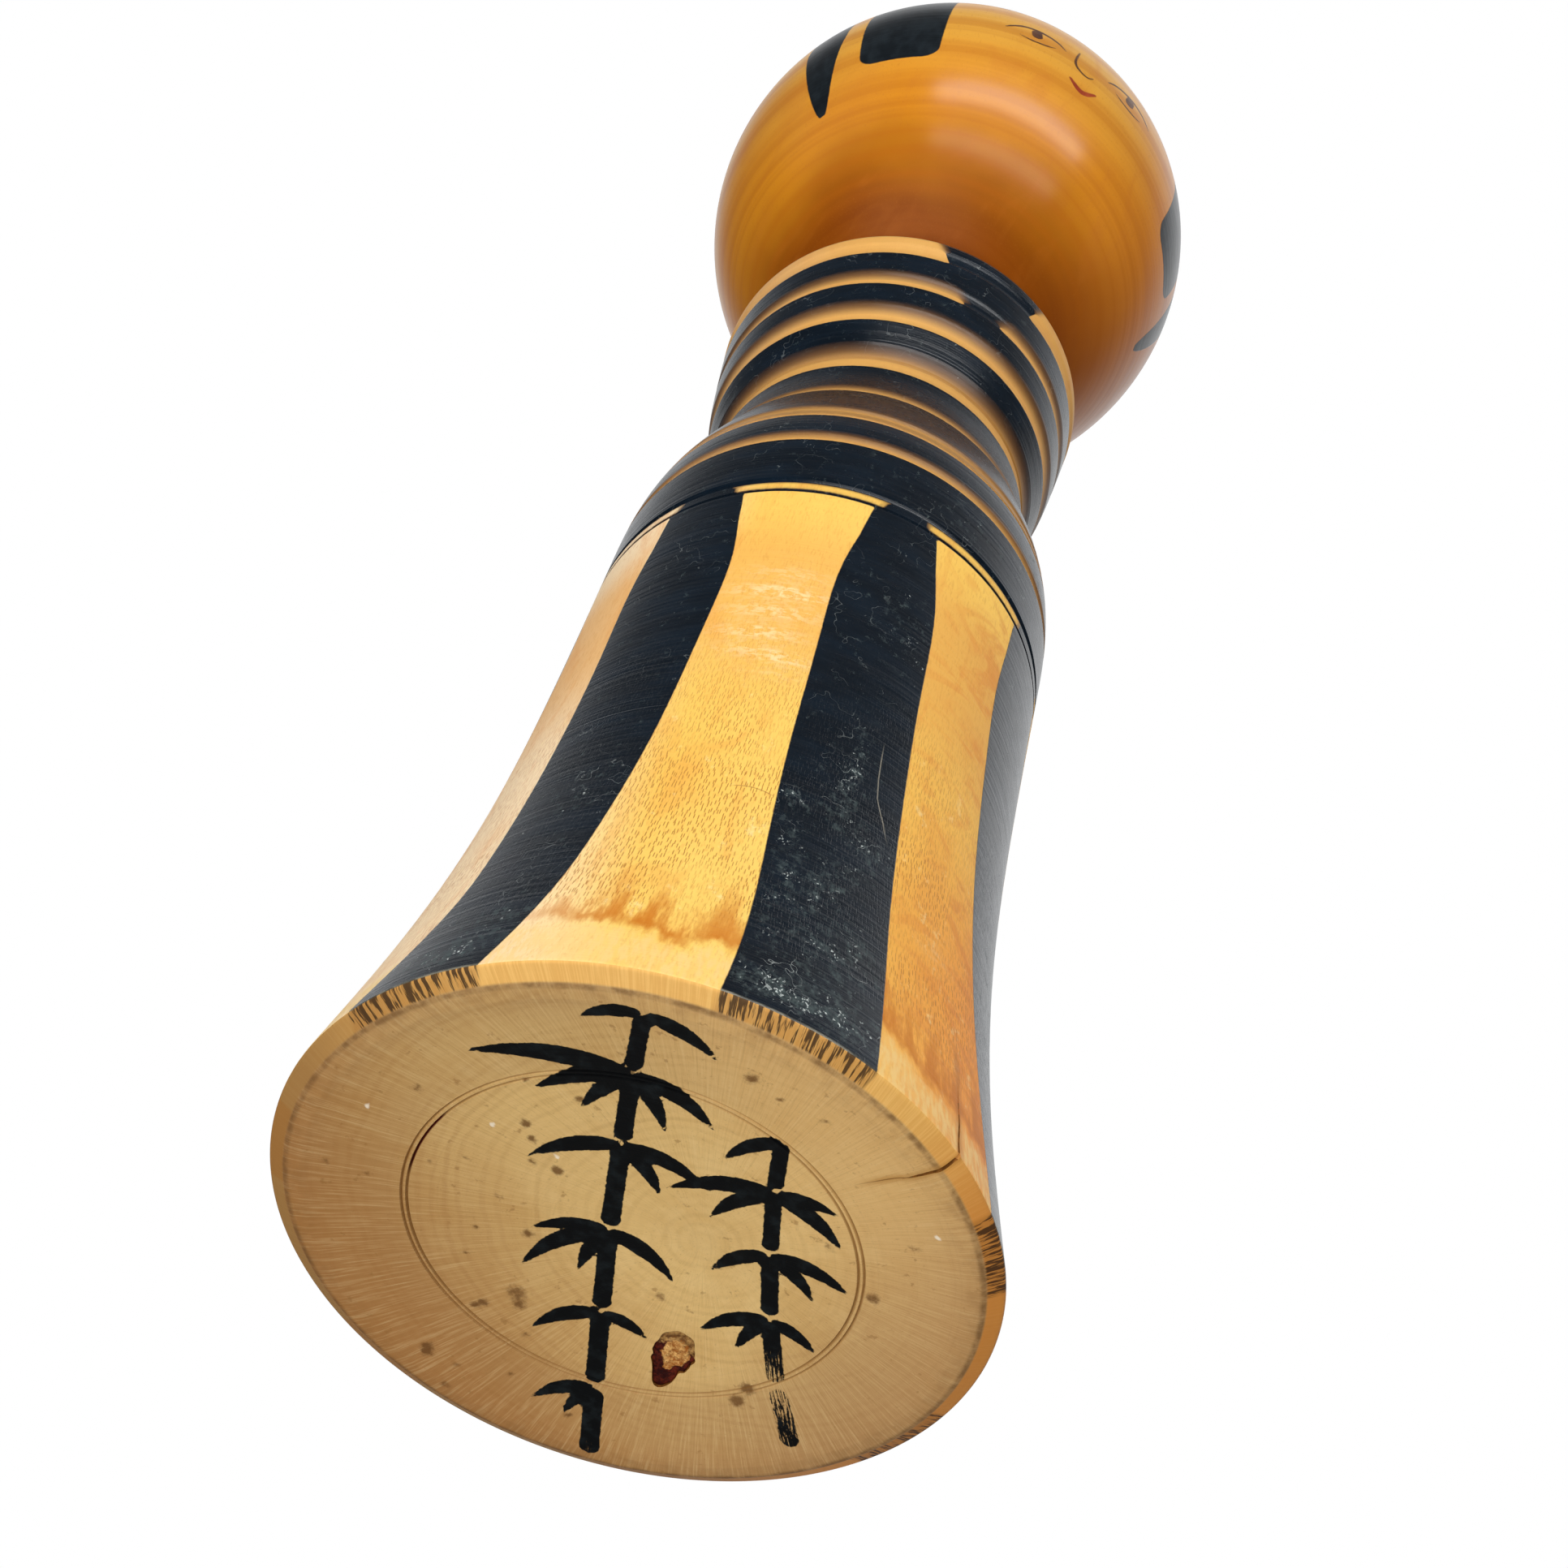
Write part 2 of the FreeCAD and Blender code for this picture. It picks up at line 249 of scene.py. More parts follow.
def arc_points(start, middle, end, count):
    """Points of the circle's arc through three points, the ends included."""
    (ax, ay), (bx, by), (cx, cy) = start, middle, end
    d = 2 * (ax * (by - cy) + bx * (cy - ay) + cx * (ay - by))
    a2, b2, c2 = ax * ax + ay * ay, bx * bx + by * by, cx * cx + cy * cy
    ux = (a2 * (by - cy) + b2 * (cy - ay) + c2 * (ay - by)) / d
    uy = (a2 * (cx - bx) + b2 * (ax - cx) + c2 * (bx - ax)) / d
    radius = math.hypot(ax - ux, ay - uy)
    first = math.atan2(ay - uy, ax - ux)
    half = (math.atan2(by - uy, bx - ux) - first + math.pi) % (2 * math.pi) - math.pi
    last = (math.atan2(cy - uy, cx - ux) - first + math.pi) % (2 * math.pi) - math.pi
    if last * half < 0:
        last += math.copysign(2 * math.pi, half)
    turns = [first + last * i / (count - 1) for i in range(count)]
    return [(ux + radius * math.cos(t), uy + radius * math.sin(t)) for t in turns]


def straight(start, end, count):
    """Points from start towards end, the end left out."""
    return [(start[0] + (end[0] - start[0]) * i / count, start[1] + (end[1] - start[1]) * i / count)
            for i in range(count)]


def body_outline():
    """Outline of the body's turning from the middle of the foot to the floor of the socket."""
    radii = list(np.arange(0.6, HOLLOW_RADIUS - 0.3, 0.5))
    half = FOOT_RING_WIDTH / 2
    radii = [r for r in radii if min(abs(r - ring) for ring in FOOT_RINGS) > half + 0.08]
    for ring in FOOT_RINGS:
        radii += [ring - half, ring - half * 0.5, ring, ring + half * 0.5, ring + half]
    outline = [(0.0, HOLLOW_DEPTH)]
    for radius in sorted(radii):
        cut = max(1 - abs(radius - ring) / half for ring in FOOT_RINGS)
        outline.append((radius, hollow_height(radius) + FOOT_RING_DEPTH * max(cut, 0)))
    outline += arc_points((HOLLOW_RADIUS - 0.25, hollow_height(HOLLOW_RADIUS - 0.25)),
                          (HOLLOW_RADIUS - 0.02, 0.005), (HOLLOW_RADIUS + 0.2, 0.0), 4)
    outline += straight((HOLLOW_RADIUS + 0.5, 0.0), (STANDING_RADIUS - 0.2, 0.0), 2)
    outline += arc_points((STANDING_RADIUS - 0.2, 0.0), (STANDING_RADIUS, 0.03),
                          (STANDING_RADIUS + 0.2, 0.1), 5)
    outline += straight((STANDING_RADIUS + 0.45, 0.225), (FOOT_RADIUS - 0.3, 0.75), 4)
    outline += arc_points((FOOT_RADIUS - 0.3, 0.75), (FOOT_RADIUS - 0.09, 0.95),
                          (float(wall_radius(1.25)), 1.25), 6)
    for height in wall_heights():
        if height > 1.4:
            outline.append((float(wall_radius(height)) - ring_depth(height), height))
    rim_end = (RIM_RADIUS - 1.3, RIM_HEIGHT + 1.7)
    outline += arc_points((RIM_RADIUS, RIM_HEIGHT), (RIM_RADIUS - 0.25, RIM_HEIGHT + 1.0), rim_end, 8)[1:]
    shoulder_end = (NECK_RADIUS + 0.8, BODY_TOP)
    middle = ((rim_end[0] + shoulder_end[0]) / 2 + 1.3, (rim_end[1] + shoulder_end[1]) / 2 + 1.3)
    outline += arc_points(rim_end, middle, shoulder_end, 26)[1:]
    outline += straight((shoulder_end[0] - 0.3, BODY_TOP), (SOCKET_RADIUS + 0.2, BODY_TOP), 4)
    outline += arc_points((SOCKET_RADIUS + 0.2, BODY_TOP), (SOCKET_RADIUS + 0.06, BODY_TOP - 0.06),
                          (SOCKET_RADIUS, BODY_TOP - 0.2), 4)
    outline += straight((SOCKET_RADIUS, BODY_TOP - 3), (SOCKET_RADIUS, SOCKET_FLOOR), 6)
    outline += straight((SOCKET_RADIUS, SOCKET_FLOOR), (0.0, SOCKET_FLOOR), 4)
    outline.append((0.0, SOCKET_FLOOR))
    return outline


def head_outline():
    """Outline of the head's turning from the tenon's end to the crown."""
    outline = [(0.0, TENON_END)]
    outline += straight((TENON_RADIUS * 0.3, TENON_END), (TENON_RADIUS - 1.0, TENON_END), 2)
    outline += straight((TENON_RADIUS - 1.0, TENON_END), (TENON_RADIUS, TENON_END + 1.0), 3)
    outline += straight((TENON_RADIUS, TENON_END + 1.0), (TENON_RADIUS, NECK_BOTTOM), 8)
    outline += straight((TENON_RADIUS, NECK_BOTTOM), (NECK_RADIUS - 0.25, NECK_BOTTOM), 3)
    outline += arc_points((NECK_RADIUS - 0.25, NECK_BOTTOM), (NECK_RADIUS - 0.07, NECK_BOTTOM + 0.07),
                          (NECK_RADIUS, NECK_BOTTOM + 0.25), 4)
    centre_radius = NECK_RADIUS + NECK_FILLET
    reach = HEAD_RADIUS + NECK_FILLET
    centre_height = HEAD_CENTRE - math.sqrt(reach ** 2 - centre_radius ** 2)
    towards = math.atan2(HEAD_CENTRE - centre_height, -centre_radius)
    outline += straight((NECK_RADIUS, NECK_BOTTOM + 0.8), (NECK_RADIUS, centre_height), 3)
    for i in range(10):
        turn = math.pi + (towards - math.pi) * i / 9
        outline.append((centre_radius + NECK_FILLET * math.cos(turn),
                        centre_height + NECK_FILLET * math.sin(turn)))
    lowest = math.degrees(math.atan2(outline[-1][1] - HEAD_CENTRE, outline[-1][0]))
    latitudes = list(np.arange(lowest + 1.1, -20.0, 1.1)) + list(np.arange(-20.0, 24.0, 0.42))
    latitudes += list(np.arange(24.0, 89.5, 1.0))
    for latitude in latitudes:
        turn = math.radians(latitude)
        height = (HEAD_RADIUS if latitude < 0 else CROWN_HEIGHT) * math.sin(turn)
        outline.append((HEAD_RADIUS * math.cos(turn), HEAD_CENTRE + height))
    outline.append((0.0, TOTAL_HEIGHT))
    return outline


def make_mesh(name, vertices, faces):
    """A smooth mesh object, its vertices given in millimetres."""
    mesh = bpy.data.meshes.new(name)
    mesh.from_pydata((np.asarray(vertices) * MM).tolist(), [], faces)
    mesh.shade_smooth()
    piece = bpy.data.objects.new(name, mesh)
    bpy.context.scene.collection.objects.link(piece)
    return piece


def turned(name, outline, directions):
    """A closed turning about +Z. The outline starts and ends on the axis; directions are in degrees."""
    angles = np.radians(np.asarray(directions) - 90)
    rows = outline[1:-1]
    columns = len(angles)
    vertices = [(r * math.cos(t), r * math.sin(t), h) for r, h in rows for t in angles]
    start, end = len(vertices), len(vertices) + 1
    vertices += [(0, 0, outline[0][1]), (0, 0, outline[-1][1])]
    faces = []
    for i in range(columns):
        j = (i + 1) % columns
        faces.append((start, j, i))
        for row in range(len(rows) - 1):
            low, high = row * columns, (row + 1) * columns
            faces.append((low + i, low + j, high + j, high + i))
        last = (len(rows) - 1) * columns
        faces.append((last + i, last + j, end))
    return make_mesh(name, vertices, faces)


def cut(piece, tool):
    """Cuts a closed tool out of a piece and removes the tool."""
    modifier = piece.modifiers.new("cut", "BOOLEAN")
    modifier.object = tool
    modifier.operation = "DIFFERENCE"
    modifier.solver = "EXACT"
    graph = bpy.context.evaluated_depsgraph_get()
    mesh = bpy.data.meshes.new_from_object(piece.evaluated_get(graph))
    piece.modifiers.clear()
    piece.data = mesh
    bpy.data.objects.remove(tool)


def positions(piece):
    """The piece's vertices in millimetres, as x, y and height arrays."""
    flat = np.empty(len(piece.data.vertices) * 3, np.float32)
    piece.data.vertices.foreach_get("co", flat)
    return (flat.reshape(-1, 3).astype(float) / MM).T


def store(piece, name, values):
    """Keeps one number per vertex for the materials to read."""
    layer = piece.data.attributes.new(name, "FLOAT", "POINT")
    layer.data.foreach_set("value", np.asarray(values, np.float32))


def knot_outline(growth=0.0, count=72):
    """The knot's irregular oval in the foot's plane, with a tail at its outer end."""
    points = []
    turn = math.radians(KNOT_DIRECTION)
    for i in range(count):
        t = 2 * math.pi * i / count
        oval = 1 / math.hypot(math.cos(t) / KNOT_HALF_LENGTH, math.sin(t) / KNOT_HALF_WIDTH)
        wave = 1 + 0.05 * math.sin(3 * t + 1) + 0.035 * math.sin(7 * t + 2) + 0.02 * math.sin(13 * t)
        from_tail = min(t, 2 * math.pi - t)
        tail = 1 + 0.10 * math.exp(-(from_tail / 0.22) ** 2)
        tail -= 0.16 * math.exp(-((from_tail - 0.62) / 0.30) ** 2)
        reach = oval * wave * tail + growth
        u, v = reach * math.cos(t), reach * math.sin(t)
        points.append((KNOT_PLACE[0] + u * math.cos(turn) - v * math.sin(turn),
                       KNOT_PLACE[1] + u * math.sin(turn) + v * math.cos(turn)))
    return points


def prism(name, outline, low, high):
    """A closed upright block with a flat outline."""
    count = len(outline)
    vertices = [(x, y, low) for x, y in outline] + [(x, y, high) for x, y in outline]
    sides = [(i, (i + 1) % count, count + (i + 1) % count, count + i) for i in range(count)]
    caps = [tuple(reversed(range(count))), tuple(range(count, 2 * count))]
    return make_mesh(name, vertices, sides + caps)


def crack_wander(share):
    """How far the crack strays sideways, in mm, along its way from the foot's face up the wall."""
    wave = 0.16 * np.sin(9 * share + 0.6) + 0.09 * np.sin(23 * share) + 0.10 * (share - 0.5)
    return wave + CRACK_DRIFT * share


def crack_tool():
    """A thin wandering wedge, open at the surface, from the foot's face round the edge and up the wall."""
    steps = 34
    turn = math.radians(CRACK_DIRECTION - 90)
    outward = Vector((math.cos(turn), math.sin(turn), 0))
    sideways = Vector((-outward.y, outward.x, 0))
    inner = FOOT_RADIUS - CRACK_REACH
    under = -0.6
    top_radius = float(wall_radius(CRACK_TOP))
    left, right, floor = [], [], []
    for i in range(steps):
        share = i / (steps - 1)
        if share < CRACK_FOOT_SHARE:
            radius = inner + (FOOT_RADIUS + CRACK_PROUD - inner) * share / CRACK_FOOT_SHARE
            height = under
        else:
            height = under + (CRACK_TOP - under) * (share - CRACK_FOOT_SHARE) / (1 - CRACK_FOOT_SHARE)
            radius = float(wall_radius(max(height, CHAMFER_HEIGHT))) + CRACK_PROUD
        width = 0.04 + 0.42 * math.sin(math.pi * min(share / 0.84, 1)) ** 0.8 * (1 - share ** 3)
        offset = sideways * float(crack_wander(share))
        surface = outward * radius + Vector((0, 0, height)) + offset
        left.append(surface - sideways * width / 2)
        right.append(surface + sideways * width / 2)
        low, bend, high = (inner, -0.55), (FOOT_RADIUS - 4.6, 4.5), (top_radius + 0.65, CRACK_TOP)
        a, b, c = (1 - share) ** 2, 2 * share * (1 - share), share ** 2
        depth_radius = a * low[0] + b * bend[0] + c * high[0]
        depth_height = a * low[1] + b * bend[1] + c * high[1]
        floor.append(outward * depth_radius + Vector((0, 0, depth_height)) + offset)
    vertices = left + right + floor
    faces = []
    for i in range(steps - 1):
        l, r, f = i, steps + i, 2 * steps + i
        faces += [(l, r, r + 1, l + 1), (r, f, f + 1, r + 1), (f, l, l + 1, f + 1)]
    faces += [(0, 2 * steps, steps), (steps - 1, 2 * steps - 1, 3 * steps - 1)]
    return make_mesh("crack_tool", [tuple(v) for v in vertices], faces)


# ---------------------------------------------------------------- the brushed bamboo on the foot
BRUSH_STEP = 0.22


def leaf(node, way, length, half_width, bend):
    """A pointed leaf that leaves a stem's node in a direction: (x, y, half width, dryness) stations."""
    ahead = (math.cos(math.radians(way)), math.sin(math.radians(way)))
    points = []
    for t in np.linspace(0, 1, int(length / BRUSH_STEP)):
        along = 0.7 + length * t
        aside = bend * math.sin(math.pi * t)
        x = node[0] + ahead[0] * along - ahead[1] * aside
        y = node[1] + ahead[1] * along + ahead[0] * aside
        swell = math.sin(math.pi * (0.04 + 0.96 * t) ** 0.6) ** 0.85
        points.append((x, y, half_width * swell + 0.06, max(0.0, t - 0.6) * 0.8))
    return points


def joint(start, end, half_width, dry_start, dry_end):
    """One joint of a stem between two nodes, a little thicker at both ends, with a gap at each node."""
    dx, dy = end[0] - start[0], end[1] - start[1]
    length = math.hypot(dx, dy)
    gap = half_width + 0.45
    points = []
    for t in np.linspace(gap / length, 1 - gap / length, int(length / BRUSH_STEP)):
        flare = 1 + 0.3 * abs(2 * t - 1) ** 5
        points.append((start[0] + dx * t, start[1] + dy * t, half_width * flare,
                       dry_start + (dry_end - dry_start) * t))
    return points


# nodes of the two stems from tip to root: (x, y, half width of the joint above it, dryness)
LEFT_STEM = [(-13.4, -25.6, 0.0, 0.0), (-10.4, -18.2, 0.75, 0.0), (-6.6, -9.6, 0.8, 0.0),
             (-1.9, 0.8, 0.85, 0.1), (3.0, 10.6, 0.85, 0.1), (7.6, 19.4, 0.9, 0.2), (12.0, 27.6, 0.95, 0.9)]
RIGHT_STEM = [(2.8, -20.4, 0.0, 0.0), (5.9, -14.2, 0.7, 0.0), (9.9, -7.2, 0.75, 0.1),
              (14.4, -0.2, 0.8, 0.6), (19.6, 6.6, 0.85, 0.98), (25.2, 12.2, 0.9, 0.8)]
# leaves: (node's number, degrees turned from the way to the root, length, half width, bend)
LEFT_LEAVES = [
    (0, 66, 5.0, 0.7, 0.5), (0, -58, 6.8, 0.8, -0.5),
    (1, 84, 13.5, 1.1, 1.0), (1, 60, 8.6, 0.95, 0.6), (1, 34, 6.4, 0.8, 0.3), (1, -26, 6.6, 0.8, -0.4),
    (1, -56, 8.0, 0.95, -0.8), (2, 62, 8.2, 0.9, 0.7), (2, -34, 6.0, 0.8, -0.4), (2, -66, 7.8, 0.9, -0.7),
    (3, 74, 6.4, 0.8, 0.5), (3, 46, 9.6, 0.95, 0.9), (3, 20, 6.0, 0.75, 0.3), (3, -52, 7.2, 0.9, -0.6),
    (4, 56, 6.6, 0.85, 0.6), (4, -64, 4.4, 0.7, -0.3), (5, 60, 5.8, 0.8, 0.5), (5, 30, 4.4, 0.65, 0.2),
]
RIGHT_LEAVES = [
    (0, 54, 5.6, 0.75, 0.4), (1, 80, 8.8, 0.95, 0.8), (1, 52, 6.6, 0.85, 0.5), (1, -44, 7.4, 0.9, -0.6),
    (1, -74, 5.0, 0.7, -0.3), (2, 58, 5.6, 0.8, 0.5), (2, -36, 5.6, 0.75, -0.4), (2, -64, 7.0, 0.85, -0.6),
    (3, 64, 6.6, 0.85, 0.6), (3, 34, 5.0, 0.7, 0.3), (3, -50, 4.6, 0.7, -0.3),
]


def bamboo():
    """Every brush stroke of the two stems and their leaves."""
    strokes = []
    for stem, leaves in ((LEFT_STEM, LEFT_LEAVES), (RIGHT_STEM, RIGHT_LEAVES)):
        for above, below in zip(stem, stem[1:]):
            strokes.append(joint(above[:2], below[:2], below[2], above[3], below[3]))
        root_way = math.degrees(math.atan2(stem[-1][1] - stem[0][1], stem[-1][0] - stem[0][0]))
        for number, turn, length, half_width, bend in leaves:
            strokes.append(leaf(stem[number][:2], root_way + turn, length, half_width, bend))
    return strokes


def store_bamboo(piece, x, y, on_foot):
    """Distance inside the nearest brush stroke, the place along and across it, and its dryness."""
    chosen = np.flatnonzero(on_foot)
    best = np.full(len(chosen), -9.0)
    across = np.zeros(len(chosen))
    along = np.zeros(len(chosen))
    dryness = np.zeros(len(chosen))
    for number, stroke in enumerate(bamboo()):
        path = np.array(stroke)
        tangent = np.gradient(path[:, :2], axis=0)
        tangent /= np.linalg.norm(tangent, axis=1)[:, None]
        middle = path[:, :2].mean(0)
        reach = np.linalg.norm(path[:, :2] - middle, axis=1).max() + 2.5
        near = np.flatnonzero(np.hypot(x[chosen] - middle[0], y[chosen] - middle[1]) < reach)
        dx = x[chosen][near][:, None] - path[None, :, 0]
        dy = y[chosen][near][:, None] - path[None, :, 1]
        inside = path[None, :, 2] - np.hypot(dx, dy)
        nearest = inside.argmax(1)
        row = np.arange(len(near))
        depth = inside[row, nearest]
        better = depth > best[near]
        picked, row, nearest = near[better], row[better], nearest[better]
        best[picked] = depth[better]
        across[picked] = dy[row, nearest] * tangent[nearest, 0] - dx[row, nearest] * tangent[nearest, 1]
        along[picked] = number * 31.0 + nearest * BRUSH_STEP
        dryness[picked] = path[nearest, 3]
    for name, values, empty in (("brush", best, -9.0), ("across", across, 0.0),
                                ("along", along, 0.0), ("dry", dryness, 0.0)):
        whole = np.full(len(x), empty)
        whole[chosen] = values
        store(piece, name, whole)


def blobs(places, direction, height, radius):
    """Sum of soft round patches on the wall."""
    total = np.zeros(len(height))
    for at, middle, reach_round, reach_up, strength in places:
        round_way = way_round(direction, at, radius) / reach_round
        up_way = (height - middle) / reach_up
        total += strength * np.exp(-(round_way ** 2 + up_way ** 2))
    return total


def dots(places, x, y):
    """Sum of soft round dots on the foot."""
    total = np.zeros(len(x))
    for dot_x, dot_y, reach, strength in places:
        total += strength * np.exp(-((x - dot_x) ** 2 + (y - dot_y) ** 2) / reach ** 2)
    return total


def bare_wood(direction, height, radius):
    """How far each point of the wall is inside bare wood, in mm (negative in the paint), and the
    softness of the paint's edge there."""
    degree = np.radians(1) * radius
    inside = np.full(len(height), -99.0)
    soft = np.full(len(height), SHARP)
    half_width = panel_half_width(np.clip(height, 0, 87))
    near_foot = np.clip(1 - height / SWAY_HEIGHT, 0, 1) ** 2
    for middle, lean, share, sway, widening in PANELS:
        aside = np.abs(turn_between(direction, middle + lean * (height - 45) + sway * near_foot))
        side = (half_width * share + widening * near_foot - aside) * degree
        panel = np.minimum(side, PANEL_TOP - height)
        bead = np.minimum(np.minimum(height - BEAD[0], BEAD[1] - height), (side + 0.9) * 0.5)
        inside = np.maximum(inside, np.maximum(panel, bead))
        fading = (height > sum(BEAD) / 2) & (height < 90) & (side > -1.0)
        soft = np.where(fading, 0.6, soft)
    for low, high, softness in BARE_RINGS:
        ring = np.minimum(height - low, high - height)
        upper = (height > (low + high) / 2) & (height < high + 2.5)
        inside = np.maximum(inside, ring)
        soft = np.where(upper, softness, soft)
    patch_half = PATCH_HALF_WIDTH + PATCH_SPREAD * (height - PATCH_HEIGHT)
    patch = (patch_half - np.abs(turn_between(direction, PATCH_MIDDLE))) * degree
    outside = np.where((height > 139.0) & (height < PATCH_TOP), -patch, 99.0)
    rounded = PATCH_CORNER - np.hypot(PATCH_CORNER - inside, PATCH_CORNER - outside)
    corner = (inside < PATCH_CORNER) & (outside < PATCH_CORNER)
    inside = np.where(corner, rounded, np.minimum(inside, outside))
    return inside, soft


def scratch_side(direction, height, radius):
    """Signed distance to the curled scratch, in mm, and 1 along its length."""
    at = np.interp(height, [p[0] for p in SCRATCH], [p[1] for p in SCRATCH])
    slope = np.gradient([p[1] for p in SCRATCH], [p[0] for p in SCRATCH])
    steep = np.interp(height, [p[0] for p in SCRATCH], slope) * np.radians(1) * radius
    side = way_round(direction, at, radius) / np.sqrt(1 + steep ** 2)
    along = np.clip((height - SCRATCH[0][0]) * 4, 0, 1) * np.clip((SCRATCH[-1][0] - height) * 2, 0, 1)
    return side, along * (np.abs(side) < 4)


def crack_side(x, y, height, on_foot):
    """Sideways distance from the crack's line, in mm, and how near a point is to its length."""
    turn = math.radians(CRACK_DIRECTION - 90)
    out = x * math.cos(turn) + y * math.sin(turn)
    side = -x * math.sin(turn) + y * math.cos(turn)
    across_foot = (out - FOOT_RADIUS + CRACK_REACH) / (CRACK_REACH + CRACK_PROUD) * CRACK_FOOT_SHARE
    up_wall = CRACK_FOOT_SHARE + height / CRACK_TOP * (1 - CRACK_FOOT_SHARE)
    share = np.where(on_foot | (height < 1.0), across_foot, up_wall)
    along = np.clip((share + 0.28) * 5, 0, 1) * np.clip((1.12 - share) * 6, 0, 1) * (out > 0)
    return side - crack_wander(np.clip(share, 0, 1)), along


def make_body():
    """The turned body with its foot's crack and the pocket of the knot."""
    piece = turned("turned_body", body_outline(), np.linspace(0, 360, 324, endpoint=False))
    cut(piece, crack_tool())
    cut(piece, prism("pocket_tool", knot_outline(0.06), -1.0, KNOT_TOP))
    x, y, height = positions(piece)
    radius = np.hypot(x, y)
    direction = direction_of(x, y)
    surface = wall_radius(height)
    on_foot = (height < 2.4) & (radius < FOOT_RADIUS - 0.02)
    inside, soft = bare_wood(direction, height, np.maximum(radius, 5.0))
    store(piece, "bare", inside)
    store(piece, "soft", soft)
    store(piece, "scuffed", blobs(SCUFFS, direction, height, surface) * ~on_foot)
    store(piece, "rubbed", blobs(RUBS, direction, height, surface) * ~on_foot)
    # more orange from the front round the doll's left side: partly the wood's own tone, partly painted
    # shade of the side away from the light
    warm_and_shaded = 0.5 - 0.5 * np.cos(np.radians(np.clip((turn_between(direction, -18) * 3.0), 0, 180)))
    store(piece, "warm_and_shaded", warm_and_shaded * (np.abs(direction) < 110))
    side, along = scratch_side(direction, height, surface)
    store(piece, "scratch", side)
    store(piece, "scratch_along", along)
    side, along = crack_side(x, y, height, on_foot)
    store(piece, "crack", side)
    store(piece, "crack_along", along)
    store(piece, "flecks", dots(FLECKS, x, y) * on_foot)
    store(piece, "chips", dots(CHIPS, x, y) * on_foot)
    store_bamboo(piece, x, y, on_foot & (radius < STANDING_RADIUS))
    sort_faces(piece)
    piece.data.set_sharp_from_angle(angle=SHARP_ANGLE)
    return piece


def sort_faces(piece):
    """Gives each face its material: 0 the wall, 1 the foot's end grain, 2 raw wood inside cuts."""
    mesh = piece.data
    count = len(mesh.polygons)
    centre = np.empty(count * 3, np.float32)
    mesh.polygons.foreach_get("center", centre)
    x, y, height = centre.reshape(-1, 3).astype(float).T / MM
    radius = np.hypot(x, y)
    hollow = hollow_height(np.minimum(radius, 31))
    skin = np.maximum(hollow, 0) + FOOT_RING_DEPTH + 0.05
    past_edge = radius - STANDING_RADIUS
    chamfer = (past_edge > 0) & (height < 1.02) & (height < past_edge * 0.5 + 0.12)
    foot = ((past_edge <= 0) & (height < skin)) | chamfer
    wall = ~foot & ((np.abs(radius - wall_radius(height)) < 0.85) | (height > RIM_HEIGHT)) & (height > 0.2)
    wall |= (height > 110) & (radius > SOCKET_RADIUS + 0.5)
    socket = (radius < SOCKET_RADIUS + 0.1) & (height > 100)
    index = np.where(foot, 1, np.where(wall & ~socket, 0, 2))
    mesh.polygons.foreach_set("material_index", index.astype(np.int32))
    mesh.update()


# ---------------------------------------------------------------- the head's paint
# hanging locks of hair: (middle, half width above, half width at its end, end, top, roundness), in degrees
# apart from the roundness in mm
LOCKS = [
    (-44.5, 10.2, 9.6, -18.5, 47.0, 2.2), (48.7, 10.6, 10.0, -18.5, 47.0, 2.2),
    (-65.0, 5.4, 0.3, -29.5, 47.0, 0.3), (67.5, 5.4, 0.3, -29.5, 47.0, 0.3),
]
# brush lines of the face, as (direction, latitude, half width in mm) along each: the two lids and the brow
# of one side, which the other side mirrors, then the pupils and the nose
SIDE_LINES = [
    [(-21.0, -1.2, 0.16), (-17.5, 1.6, 0.34), (-13.0, 2.3, 0.36), (-8.5, 0.8, 0.28), (-6.0, -1.4, 0.14)],
    [(-17.5, -3.2, 0.10), (-14.5, -4.2, 0.22), (-10.5, -3.8, 0.2), (-8.5, -2.8, 0.08)],
    [(-24.0, 15.5, 0.16), (-17.5, 19.0, 0.42), (-9.0, 17.0, 0.22)],
]
FACE_MIDDLE = 0.25
MIRRORED_LINES = [[(2 * FACE_MIDDLE - way, up, half) for way, up, half in line] for line in SIDE_LINES]
FACE_LINES = SIDE_LINES + MIRRORED_LINES + [
    [(-13.6, 0.6, 0.85), (-13.4, -0.9, 0.85)], [(13.9, 0.6, 0.85), (13.7, -0.9, 0.85)],
    [(-2.4, 2.6, 0.14), (-3.0, -3.0, 0.24), (-1.8, -6.0, 0.26), (0.8, -7.0, 0.2), (2.4, -5.8, 0.14)],
]
MOUTH_LINES = [
    [(-2.9, -11.4, 0.22), (-0.8, -13.0, 0.42), (0.9, -13.6, 0.48), (2.6, -12.9, 0.42), (4.4, -11.2, 0.22)],
]
BANGS = [(-11.0, 36.0), (-7.3, 33.5), (-3.6, 32.2), (0.0, 31.8), (3.6, 32.2), (7.3, 33.5), (11.0, 36.0)]
# painted rings round the crown, by latitude
CROWN_BLACK = [(47.0, 50.0), (66.0, 68.0), (82.5, 90.5)]
CROWN_RED = [(52.0, 57.5), (70.0, 74.5)]
CROWN_GREEN = [(59.5, 64.0), (76.5, 80.5)]


HEAD_DEGREE = math.radians(1) * HEAD_RADIUS    # mm over the ball per degree
# paints of the head: (name, darker colour, lighter colour)
PAINTS = [
    ("green", (34, 66, 48), (52, 88, 62)), ("red", (138, 50, 26), (164, 72, 40)),
    ("face", (78, 46, 28), (104, 66, 40)), ("black", (12, 18, 23), (26, 33, 38)),
]


